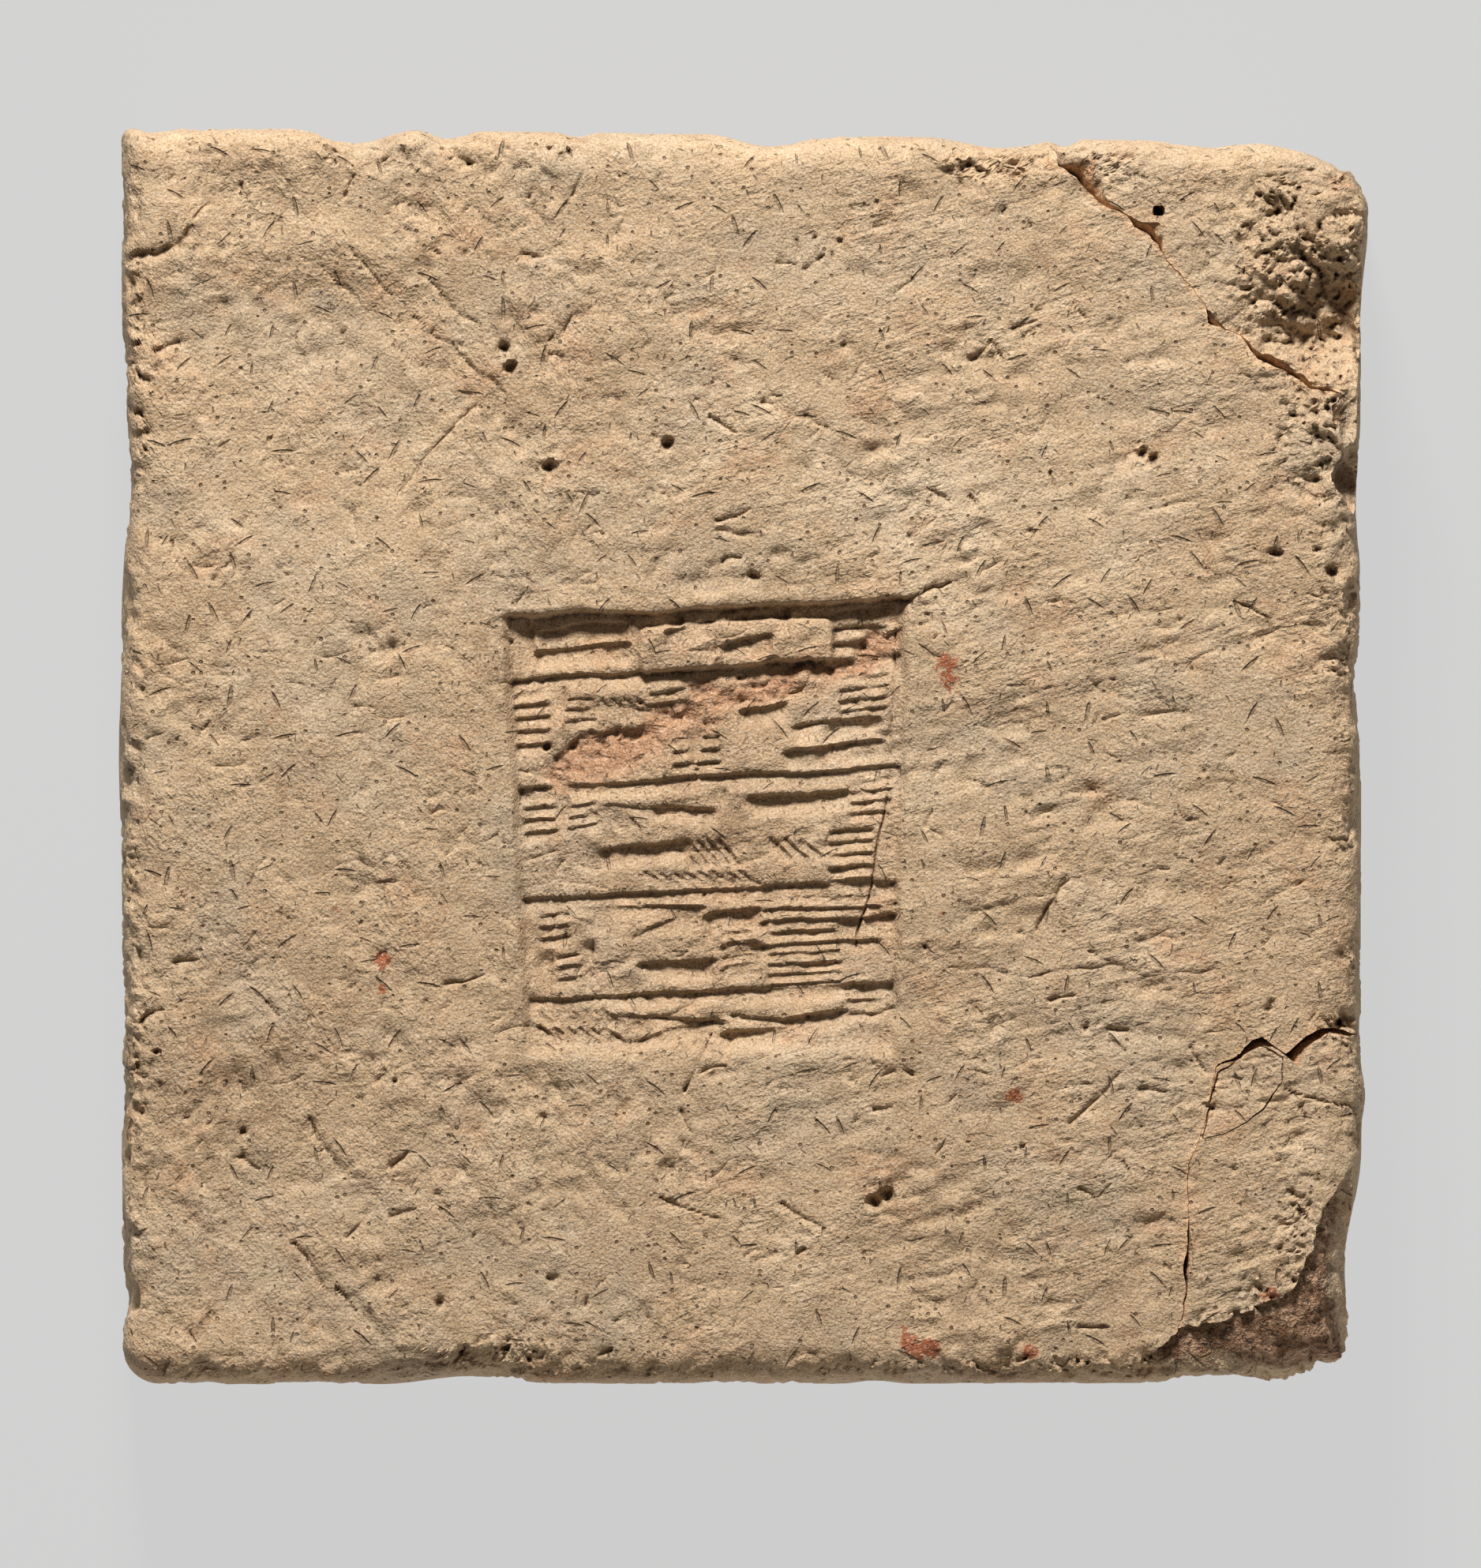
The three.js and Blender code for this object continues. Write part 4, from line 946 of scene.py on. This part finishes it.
def wedge_block(clearance, seed):
    """A stack of rings round the wedge's middle that shrink with depth, with a rough wall."""
    corners = np.array([(WIDTH / 2 - a, b - LENGTH / 2) for a, b in WEDGE_OUTLINE])
    closed = np.vstack([corners, corners[:1]])
    ring = resampled(closed, 0.7)[:-1]
    middle = corners.mean(0)
    area = np.sum(closed[:-1, 0] * closed[1:, 1] - closed[1:, 0] * closed[:-1, 1])
    ring = ring if area > 0 else ring[::-1]
    heights = np.arange(THICKNESS - WEDGE_DEPTH - clearance, THICKNESS + 2, 0.8)
    sizes = 1 - (1 - WEDGE_TAPER) * (THICKNESS - heights) / WEDGE_DEPTH
    far = np.hypot(*(ring - middle).T)
    away = (ring - middle) / far[:, None]
    base = middle + away[None] * (sizes[:, None] * far)[..., None]
    grid = np.concatenate([base, np.broadcast_to(heights[:, None, None], base.shape[:2] + (1,))], axis=-1)
    shift = rough(grid.reshape(-1, 3), 4, 0.5, seed, 3).reshape(grid.shape[:2]) + clearance
    grid[..., :2] += away[None] * shift[..., None]
    return hub_tube(grid, [(*middle, heights[0]), (*middle, heights[-1])])


def broken_corner(seed):
    """Everything outside the broken face of the near right corner. The face starts at the break's edge and
    runs out with depth, onto a ledge in its left half, and a noise that grows below the edge roughens it."""
    knots = resampled([(WIDTH / 2 - a, b - LENGTH / 2) for a, b in BREAK_EDGE], 0.7)
    right, near = WIDTH / 2 + BREAK_REACH, -LENGTH / 2 - BREAK_REACH
    outer = np.array([(knots[-1, 0] - 2, near), (right, near), (right, knots[0, 1])])
    heights = np.arange(THICKNESS + 5, -4, -0.9)[::-1]
    steep, ledge = (np.interp(THICKNESS - heights, *np.array(line)[::-1].T)[:, None] * math.sqrt(0.5)
                    for line in (BREAK_RUN_OUT, BREAK_LEDGE))
    held = smooth_step(np.linspace(1, 0, len(knots)), 0, 0.12)
    run_out = steep + (ledge - steep) * smooth_step(np.linspace(0, 1, len(knots)), 0.36, 0.6)
    face = np.stack(np.broadcast_arrays(
        knots[None, :, 0] + run_out * held, knots[None, :, 1] - run_out, heights[:, None]), axis=-1)
    flat = face.reshape(-1, 3)
    below = smooth_step(THICKNESS - flat[:, 2], -1, 9)
    lumps = sum(depth * np.abs(lattice_noise(flat * (1, 1, tall), size, seed + 7 + k))
                for k, (size, depth, tall) in enumerate(BREAK_LUMPS))
    shift = rough(flat, 13, 2.2, seed, 2) * below + (lumps - 2.0) * (0.55 + 0.45 * below)
    face[..., :2] += (shift * math.sqrt(0.5)).reshape(face.shape[:2])[..., None] * (1, -1)
    walls = np.concatenate([np.broadcast_to(outer[None], (len(heights), 3, 2)),
                            np.broadcast_to(heights[:, None, None], (len(heights), 3, 1))], axis=-1)
    rings = np.concatenate([face, walls], axis=1)
    return fan_tube(rings, len(knots) + 1)


def chip_ball(chip, seed):
    """A ball stretched to the chip's half sizes, its surface pushed in and out by noise."""
    edge, outside, along, below, half = chip
    middle = {"right": (WIDTH / 2 + outside, along), "left": (-WIDTH / 2 - outside, along),
              "far": (along, LENGTH / 2 + outside), "near": (along, -LENGTH / 2 - outside)}[edge]
    rows = int(np.clip(max(half) * 5, 24, 110))
    polar = np.linspace(0, math.pi, rows + 2)[1:-1][::-1, None]
    turn = np.linspace(0, 2 * math.pi, rows * 2, endpoint=False)[None]
    ball = np.stack(np.broadcast_arrays(
        np.sin(polar) * np.cos(turn), np.sin(polar) * np.sin(turn), np.cos(polar)), axis=-1)
    place = ball * half
    size = min(half)
    flat = place.reshape(-1, 3) + seed * 50
    shift = rough(flat, max(size * 0.9, 2), 0.26, seed, 4).reshape(ball.shape[:2]) * min(1, 4 / size + 0.4)
    place = place * (1 + shift)[..., None] + (*middle, THICKNESS - below)
    return hub_tube(place, [place[0].mean(0), place[-1].mean(0)])


def together(parts):
    """Several separate surfaces as one."""
    starts = np.cumsum([0] + [len(points) for points, _ in parts[:-1]])
    return (np.vstack([points for points, _ in parts]),
            np.vstack([triangles + start for (_, triangles), start in zip(parts, starts)]))


def applied(shown):
    """Puts the object's modifiers into its mesh."""
    evaluated = shown.evaluated_get(bpy.context.evaluated_depsgraph_get())
    mesh = bpy.data.meshes.new_from_object(evaluated)
    shown.modifiers.clear()
    old = shown.data
    shown.data = mesh
    bpy.data.meshes.remove(old)


def discard(shown):
    """Deletes an object and its mesh."""
    mesh = shown.data
    bpy.data.objects.remove(shown)
    bpy.data.meshes.remove(mesh)


def cut(shown, surface, operation="DIFFERENCE"):
    """Cuts the object by a closed surface, or keeps only what lies inside it."""
    tool = make_mesh("cutter", *surface)
    modifier = shown.modifiers.new("cut", "BOOLEAN")
    modifier.operation = operation
    modifier.solver = "MANIFOLD"
    modifier.object = tool
    applied(shown)
    discard(tool)


def mesh_places(mesh):
    """The mesh's points in millimetres."""
    places = np.empty(len(mesh.vertices) * 3, np.float32)
    mesh.vertices.foreach_get("co", places)
    return places.reshape(-1, 3) / MM


def largest_parts(shown, count):
    """The object's largest unconnected parts as objects of their own, the largest first; crumbs go."""
    bpy.ops.object.select_all(action="DESELECT")
    shown.select_set(True)
    bpy.context.view_layer.objects.active = shown
    bpy.ops.mesh.separate(type="LOOSE")
    parts = sorted(bpy.context.selected_objects, key=lambda part: -len(part.data.polygons))
    for crumb in parts[count:]:
        discard(crumb)
    return parts[:count]


def thinned(shown, limit):
    """Joins triangles where the surface is flattest until no more than the limit are left."""
    count = len(shown.data.polygons)
    if count > limit:
        modifier = shown.modifiers.new("thin", "DECIMATE")
        modifier.ratio = limit / count
        applied(shown)
    return shown


def held_inside(shown):
    """Keeps every point between the underside's and the upper face's planes."""
    places = np.empty(len(shown.data.vertices) * 3, np.float32)
    shown.data.vertices.foreach_get("co", places)
    places[2::3] = np.clip(places[2::3], 0, THICKNESS * MM)
    shown.data.vertices.foreach_set("co", places)
    shown.data.update()


def brick_pieces(chart):
    """Cuts the unbroken brick into its four pieces."""
    brick = make_mesh(NAMES[0], *whole_brick(chart))
    cut(brick, broken_corner(81))
    for first in range(2):
        cut(brick, together([chip_ball(chip, 90 + k) for k, chip in enumerate(CHIPS) if k % 2 == first]))
    upper, lower = crack_sheet(UPPER_CRACK, 1, 110), crack_sheet(LOWER_CRACK, -1, 130)
    wedge = bpy.data.objects.new(NAMES[3], brick.data.copy())
    bpy.context.scene.collection.objects.link(wedge)
    cut(wedge, wedge_block(0, 150), "INTERSECT")
    cut(wedge, lower)
    wedge = largest_parts(wedge, 1)[0]
    cut(brick, wedge_block(WEDGE_CLEARANCE, 150))
    cut(brick, together([upper, lower]))
    body, *corners = largest_parts(brick, 3)
    corners.sort(key=lambda part: -part.data.vertices[0].co.y)
    pieces = [body, *corners, wedge]
    for piece, name in zip(pieces, NAMES):
        held_inside(thinned(piece, TRIANGLE_LIMITS[name]))
        piece.name = name + "_clay"
        piece.data.name = piece.name
    return pieces


# Masks kept on the mesh

def store(mesh, name, values):
    layer = mesh.attributes.new(name, "FLOAT", "POINT")
    layer.data.foreach_set("value", np.clip(values, -2, 2).astype(np.float32))


def side_gap(points):
    """Distance in from the unbroken outline, the least of the four sides."""
    gaps = []
    for k, side in enumerate(SIDES):
        across, along = (WIDTH, LENGTH) if k % 2 == 0 else (LENGTH, WIDTH)
        run, off = (points[:, 0], points[:, 1]) if k % 2 == 0 else (points[:, 1], points[:, 0])
        turn = 1 if k < 2 else -1
        share = np.clip(0.5 + turn * run / across, 0, 1)
        outer = -off if k in (0, 3) else off
        gaps.append(along / 2 - outer - side_inset(side, share))
    return np.min(gaps, axis=0)


def crack_gap(x, y):
    """Distance on the upper face to the nearer crack's line."""
    gap = np.full(len(x), 1e3)
    for line, end in ((UPPER_CRACK, 1), (LOWER_CRACK, -1)):
        for inward, along, _ in resampled(line, 1.5):
            gap = np.minimum(gap, np.hypot(x - WIDTH / 2 + inward, y - end * (LENGTH / 2 - along)))
    return gap


def spots(x, y, places, seed):
    """Blots round the given pixels, each with a half width in millimetres and a strength, their rims moved
    in and out by noise."""
    total = np.zeros(len(x))
    flat = np.c_[x, y, np.zeros(len(x))]
    for across, down, half, strength in places:
        middle = from_photo(across, down)
        ragged = 1 + 0.45 * lattice_noise(flat, half, seed) + 0.4 * lattice_noise(flat, half * 0.4, seed + 1)
        total += strength * bump(np.hypot(x - middle[0], y - middle[1]) * ragged, half)
    return total


def mark_piece(piece, chart):
    """Masks for the clay's colours. On the upper face: the scar, the panel, hollows where shade is painted,
    rust, ash, tone from dark to pale, and the seams along the cracks. Anywhere: fresh where a break shows the
    inside, crack near the cracks' lines, where the walls are painted lit, and deep far down in them, where
    shade is painted."""
    points = mesh_places(piece.data)
    x, y, z = points.T
    drop = THICKNESS - chart.sample(chart.depth, x, y) - z
    side = side_gap(points) - np.interp(THICKNESS - z, *WORN_INSETS)
    corner = smooth_step(x - y, *BREAK_DIAGONAL)
    gap = crack_gap(x, y)
    crack = (1 - smooth_step(gap, *CRACK_REACH)) * (1 - corner)
    inside = smooth_step(drop, 0.6, 2.0) * smooth_step(side, 1.8, 3.6)
    fresh = inside * np.maximum(np.maximum(crack, corner), 0.3)
    near_top = 1 - smooth_step(drop, 0.6, 2.0)
    on_top = {
        "scar": chart.sample(chart.scar, x, y),
        "panel": chart.sample(chart.panel, x, y),
        "hollow": chart.sample(chart.hollow, x, y),
        "rust": spots(x, y, RUST, 201),
        "ash": spots(x, y, ASH, 221),
        "tone": spots(x, y, TONES, 211),
        "seam": 1 - smooth_step(gap, 0.3, 2.4),
    }
    for name, share in on_top.items():
        store(piece.data, name, share * near_top)
    # deep: how far down in a crack each point lies, for the shade painted there
    for name, share in (("fresh", fresh), ("crack", crack), ("deep", smooth_step(drop, 2.5, 9) * crack)):
        store(piece.data, name, share)


# Node helpers

class Term:
    """A value in a node tree that ordinary arithmetic builds on."""

    def __init__(self, tree, socket):
        self.tree, self.socket = tree, socket

    def join(self, operation, *others):
        node = self.tree.nodes.new("ShaderNodeMath")
        node.operation = operation
        for slot, value in zip(node.inputs, (self, *others)):
            feed(self.tree, slot, value)
        return Term(self.tree, node.outputs[0])

    def __add__(self, other):
        return self.join("ADD", other)

    def __sub__(self, other):
        return self.join("SUBTRACT", other)

    def __rsub__(self, other):
        return (self * -1) + other

    def __mul__(self, other):
        return self.join("MULTIPLY", other)

    def __truediv__(self, other):
        return self.join("DIVIDE", other)

    __radd__, __rmul__ = __add__, __mul__

    def step(self, low, high):
        """0 at low, 1 at high, smooth between them."""
        node = self.tree.nodes.new("ShaderNodeMapRange")
        node.interpolation_type = "SMOOTHSTEP"
        for name, value in (("Value", self), ("From Min", low), ("From Max", high)):
            feed(self.tree, node.inputs[name], value)
        return Term(self.tree, node.outputs[0])


def feed(tree, slot, value):
    """Links a term or sets a plain value."""
    if isinstance(value, Term):
        tree.links.new(value.socket, slot)
    else:
        slot.default_value = value


def node(tree, kind, settings=(), output=0, **values):
    """A node with its settings and inputs, as a term of one of its outputs."""
    made = tree.nodes.new(kind)
    for name, value in dict(settings).items():
        setattr(made, name, value)
    for name, value in values.items():
        feed(tree, made.inputs[name.replace("_", " ")], value)
    return Term(tree, made.outputs[output])


def noise(tree, place, size, detail, roughness):
    """Noise whose humps are about size across; it stays near 0.5."""
    return node(tree, "ShaderNodeTexNoise", Vector=place, Scale=1 / size, Detail=detail, Roughness=roughness)


def mask(tree, name):
    return node(tree, "ShaderNodeAttribute", {"attribute_name": name}, output=2)


def paint(red, green, blue):
    """A screen colour from 0 to 255 as a linear one."""
    shares = (value / 255 for value in (red, green, blue))
    return (*((v / 12.92 if v <= 0.04045 else ((v + 0.055) / 1.055) ** 2.4) for v in shares), 1)


def blend(tree, share, low, high):
    """Mixes two colours."""
    made = tree.nodes.new("ShaderNodeMix")
    made.data_type = "RGBA"
    feed(tree, made.inputs[0], share)
    feed(tree, made.inputs[6], low)
    feed(tree, made.inputs[7], high)
    return Term(tree, made.outputs[2])


def painted_over(tree, colour, coats):
    """A colour with coats over it, each by its share and its screen colour."""
    for share, coat in coats:
        colour = blend(tree, share, colour, paint(*coat))
    return colour


def new_group(name, inputs, outputs):
    """An empty node group with number inputs, except one called Place, and number outputs."""
    tree = bpy.data.node_groups.new(name, "ShaderNodeTree")
    for title, value in inputs.items():
        kind = "NodeSocketVector" if title == "Place" else "NodeSocketFloat"
        socket = tree.interface.new_socket(title, in_out="INPUT", socket_type=kind)
        if value is not None:
            socket.default_value = value
    for title in outputs:
        tree.interface.new_socket(title, in_out="OUTPUT", socket_type="NodeSocketFloat")
    start = tree.nodes.new("NodeGroupInput")
    end = tree.nodes.new("NodeGroupOutput")
    return tree, {title: Term(tree, start.outputs[title]) for title in inputs}, end


def group_node(tree, group, output, **values):
    made = tree.nodes.new("ShaderNodeGroup")
    made.node_tree = group
    for name, value in values.items():
        feed(tree, made.inputs[name.replace("_", " ")], value)
    return Term(tree, made.outputs[output])


def wiped_place(tree, place, turn, stretch):
    """The place measured along and across a wiping direction, shortened along it."""
    return node(tree, "ShaderNodeMapping", {"vector_type": "TEXTURE"}, Vector=place,
                Rotation=(0, 0, math.radians(turn)), Scale=(stretch, 1, 1))


def straw_prints():
    """Short marks of straw, one at most in each Voronoi cell: an ellipse round the cell's own point, turned
    and sized by the cell's random colour."""
    inputs = {"Place": None, "Cell": 4.0, "Length": 0.4, "Width": 0.1, "Share": 0.6}
    tree, given, end = new_group("straw prints", inputs, ("Mark",))
    cells = tree.nodes.new("ShaderNodeTexVoronoi")
    cells.voronoi_dimensions = "2D"
    feed(tree, cells.inputs["Vector"], given["Place"])
    feed(tree, cells.inputs["Scale"], given["Cell"].join("POWER", -1))
    shift = node(tree, "ShaderNodeVectorMath", {"operation": "SUBTRACT"})
    tree.links.new(given["Place"].socket, shift.socket.node.inputs[0])
    tree.links.new(cells.outputs["Position"], shift.socket.node.inputs[1])
    chance = tree.nodes.new("ShaderNodeSeparateColor")
    tree.links.new(cells.outputs["Color"], chance.inputs[0])
    turn, here, size = (Term(tree, socket) for socket in chance.outputs)
    parts = tree.nodes.new("ShaderNodeSeparateXYZ")
    tree.links.new(shift.socket, parts.inputs[0])
    x, y = Term(tree, parts.outputs[0]), Term(tree, parts.outputs[1])
    angle = turn * (2 * math.pi)
    cosine, sine = angle.join("COSINE"), angle.join("SINE")
    scale = given["Cell"] * (size * 0.7 + 0.5)
    along = (x * cosine + y * sine) / (scale * given["Length"])
    aside = (y * cosine - x * sine) / (scale * given["Width"])
    far = (along * along + aside * aside).join("SQRT")
    feed(tree, end.inputs["Mark"], (1 - far.step(0.45, 1.1)) * here.join("LESS_THAN", given["Share"]))
    return tree


def grit():
    """Small grains: near a cell's point inside the few cells whose random colour is high."""
    inputs = {"Place": None, "Cell": 1.0, "Size": 0.3, "Share": 0.1}
    tree, given, end = new_group("grit", inputs, ("Mark",))
    cells = tree.nodes.new("ShaderNodeTexVoronoi")
    feed(tree, cells.inputs["Vector"], given["Place"])
    feed(tree, cells.inputs["Scale"], given["Cell"].join("POWER", -1))
    chance = tree.nodes.new("ShaderNodeSeparateColor")
    tree.links.new(cells.outputs["Color"], chance.inputs[0])
    here = Term(tree, chance.outputs[0]).join("LESS_THAN", given["Share"])
    near = 1 - Term(tree, cells.outputs["Distance"]).step(given["Size"] * 0.6, given["Size"])
    feed(tree, end.inputs["Mark"], near * here)
    return tree


def fired_clay():
    """The clay's one material. The crust goes from brown through buff to pale by tone and noise, under its
    stains, rust and scar; the broken clay has colours of its own, painted paler to stand in for fill light,
    with painted light on the crack walls and painted shade in holes and deep in the cracks; straw prints and
    pores with painted shade, hollows with painted shade, grains, and painted highlights and shade on the sand
    lie over both."""
    material = bpy.data.materials.new("fired clay")
    material.use_nodes = True
    tree = material.node_tree
    shader = tree.nodes["Principled BSDF"]
    place = node(tree, "ShaderNodeVectorMath", {"operation": "SCALE"}, Scale=1 / MM)
    coordinates = tree.nodes.new("ShaderNodeTexCoord")
    tree.links.new(coordinates.outputs["Object"], place.socket.node.inputs[0])
    facing = tree.nodes.new("ShaderNodeNewGeometry")
    normal = tree.nodes.new("ShaderNodeSeparateXYZ")
    tree.links.new(facing.outputs["Normal"], normal.inputs[0])
    level = Term(tree, normal.outputs[2]).join("ABSOLUTE").join("GREATER_THAN", 0.6)
    east = Term(tree, normal.outputs[0]).join("ABSOLUTE").join("GREATER_THAN", 0.7)
    spot = tree.nodes.new("ShaderNodeSeparateXYZ")
    tree.links.new(place.socket, spot.inputs[0])
    x, y, z = (Term(tree, socket) for socket in spot.outputs)
    first = x * (1 - east * (1 - level)) + y * (east * (1 - level))
    second = y * level + z * (1 - level)
    sheet = node(tree, "ShaderNodeCombineXYZ", X=first, Y=second)

    straw, grains = straw_prints(), grit()
    small_straw, large_straw = (
        group_node(tree, straw, "Mark", Place=sheet, **form) for form in (SMALL_STRAW, LARGE_STRAW))
    pores, pale_grit, dark_grit = (
        group_node(tree, grains, "Mark", Place=place, **form) for form in (PORES, PALE_GRIT, DARK_GRIT))
    scar, panel, hollow, rust, ash, tone, seam, fresh, crack, deep = (
        mask(tree, name) for name in
        ("scar", "panel", "hollow", "rust", "ash", "tone", "seam", "fresh", "crack", "deep"))

    broad = noise(tree, place, 55, 4, 0.6) - 0.5
    mottle = noise(tree, place, 9, 5, 0.65) - 0.5
    fine = noise(tree, place, 1.6, 3, 0.7) - 0.5
    grain = noise(tree, place, 0.6, 2, 0.7) - 0.5
    shade = tone * 0.5 + broad * 0.9 + mottle * 1.0 + 0.52
    grey = noise(tree, place, 30, 5, 0.65).step(0.45, 0.66)
    warm = noise(tree, place, 17, 5, 0.65).step(0.52, 0.7)
    flaked = (rust + mottle * 0.8 + fine * 1.4 + grain * 0.8).step(0.5, 0.66)
    # Spots on the broken clay where the shade of holes is painted; the mesh has no holes there
    holes = noise(tree, place, 2.2, 3, 0.7).step(0.52, 0.64) * (1 - crack)
    # Straw prints and pores, where shade is painted, partly dirt
    prints = small_straw * 0.55 + large_straw * 0.6 + pores * 0.85
    calm = 1 - fresh * 0.7
    crust = painted_over(tree, paint(*BROWN), (
        (shade.step(0.0, 0.55), BUFF),
        (shade.step(0.5, 1.05), PALE),
        (grey * 0.55, GREY),
        (warm * 0.45, WARM),
        (scar * 0.65 + panel * 0.1, TORN),
        # An orange band along the cracks on the upper face, in the crack walls' colour, which is painted
        # bright to stand in for light
        ((seam + mottle).step(0.3, 0.9) * 0.5, LIT_CRACK_WALL),
        (flaked * 0.95, RUSTY),
        ((ash + fine * 1.6 + mottle).step(0.45, 0.75) * 0.4, ASHY),
        ((ash + fine * 2 - mottle).step(0.85, 1.1) * 0.9, DARK_GRAIN),
    ))
    # The broken clay, in colours painted paler to stand in for fill light
    broken = painted_over(tree, paint(*BREAK_DARK), (
        (noise(tree, place, 5, 4, 0.6).step(0.4, 0.65), BREAK_PALE),
        # Painted shade: dark holes
        (holes * 0.85, HOLE_AND_CRACK_SHADE),
        # Painted light on the crack walls near the cracks' lines
        (crack * 0.8, LIT_CRACK_WALL),
        # Painted shade deep in the cracks
        (deep * 0.9, HOLE_AND_CRACK_SHADE),
    ))
    clay = painted_over(tree, blend(tree, fresh, crust, broken), (
        # Painted shade in straw prints and pores, partly dirt
        (prints * (1 - panel * 0.6), SHADOW),
        # Painted shade in hollows, partly dirt
        (hollow.step(0.15, 1.0) * 0.9, HOLLOW_SHADE),
        (pale_grit * 0.3, PALE_GRIT_AND_GRAIN_HIGHLIGHT),
        (dark_grit * 0.5, DARK_GRAIN),
        (fine.step(0.05, 0.3) * calm * 0.2, PALE),
        (fine.step(-0.05, -0.3) * 0.22, BROWN),
        # Painted highlights and shade of the sand's fine relief: lighter and darker specks by the grain noise
        (grain.step(0.0, 0.2) * calm * 0.62, PALE_GRIT_AND_GRAIN_HIGHLIGHT),
        (grain.step(-0.02, -0.2) * 0.62, SHADOW),
    ))
    feed(tree, shader.inputs["Base Color"], clay)
    feed(tree, shader.inputs["Roughness"], fine * 0.1 + 0.9)
    shader.inputs["Specular IOR Level"].default_value = 0.25

    patch = noise(tree, place, 18, 2, 0.5).step(0.38, 0.62)
    lumps = noise(tree, place, 2.4, 2, 0.5) * (patch * 0.6 + 0.35)
    sand = noise(tree, place, 0.8, 2, 0.6)
    torn = noise(tree, place, 1.8, 3, 0.7) * fresh
    wiped_left, wiped_right = (
        noise(tree, wiped_place(tree, place, turn, stretch), 1.0, 2, 0.6) for turn, stretch in WIPING)
    wiped = wiped_left + (wiped_right - wiped_left) * x.step(-60, 10)
    height = lumps + sand * 0.5 + wiped * patch * 0.4 + torn * 3
    height = height - small_straw * 0.4 - large_straw * 0.6 - pores * 0.5
    relief = node(tree, "ShaderNodeBump", Height=height, Distance=MM, Strength=1.0)
    feed(tree, shader.inputs["Normal"], relief)
    return material


# The stage

def add_light(name, direction, distance, size, power, colour):
    """A square area light at a distance from the brick's middle, turned towards it."""
    light = bpy.data.lights.new(name, "AREA")
    light.size = size
    light.energy = power
    light.color = colour
    shown = bpy.data.objects.new(name, light)
    away = Vector(direction).normalized()
    shown.location = away * distance
    shown.rotation_euler = away.to_track_quat("Z", "Y").to_euler()
    bpy.context.scene.collection.objects.link(shown)


def pale_floor():
    """A wide plane that glows a little, so that it stays as even as the photograph's ground."""
    mesh = bpy.data.meshes.new("floor")
    corners = [(x * FLOOR_HALF, y * FLOOR_HALF, 0) for x, y in ((-1, -1), (1, -1), (1, 1), (-1, 1))]
    mesh.from_pydata(corners, [], [(0, 1, 2, 3)])
    floor = bpy.data.objects.new("floor", mesh)
    bpy.context.scene.collection.objects.link(floor)
    material = bpy.data.materials.new("pale floor")
    material.use_nodes = True
    shader = material.node_tree.nodes["Principled BSDF"]
    shader.inputs["Base Color"].default_value = FLOOR_COLOUR
    shader.inputs["Roughness"].default_value = 1
    shader.inputs["Specular IOR Level"].default_value = 0
    shader.inputs["Emission Color"].default_value = (1, 1, 1, 1)
    shader.inputs["Emission Strength"].default_value = FLOOR_GLOW
    mesh.materials.append(material)


def add_camera():
    """Straight down, from far off, framing the photograph's height at the upper face."""
    offset = np.array([PHOTO_SIZE[0] / 2 - PHOTO_MIDDLE[0], PHOTO_MIDDLE[1] - PHOTO_SIZE[1] / 2])
    x, y = offset * PHOTO_MM_PER_PIXEL * MM
    camera = bpy.data.cameras.new("camera")
    camera.lens = camera.sensor_width * CAMERA_DISTANCE / (PHOTO_SIZE[1] * PHOTO_MM_PER_PIXEL * MM)
    camera.clip_end = 20
    shown = bpy.data.objects.new("camera", camera)
    shown.location = (x, y, THICKNESS * MM + CAMERA_DISTANCE)
    bpy.context.scene.collection.objects.link(shown)
    bpy.context.scene.camera = shown


def add_world():
    world = bpy.data.worlds.new("world")
    world.use_nodes = True
    backdrop = world.node_tree.nodes["Background"]
    backdrop.inputs["Color"].default_value = SKY_COLOUR
    backdrop.inputs["Strength"].default_value = SKY_STRENGTH
    bpy.context.scene.world = world
    bpy.context.scene.view_settings.view_transform = "Standard"


# Putting it together

chart = upper_chart()
pieces = brick_pieces(chart)
clay = fired_clay()
for piece, name in zip(pieces, NAMES):
    mark_piece(piece, chart)
    piece.data.shade_smooth()
    piece.data.set_sharp_from_angle(angle=math.radians(55))
    piece.data.materials.clear()
    piece.data.materials.append(clay)
    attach(piece, "root")
    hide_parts(name)

pale_floor()
add_camera()
add_world()
for light in LIGHTS:
    add_light(*light)
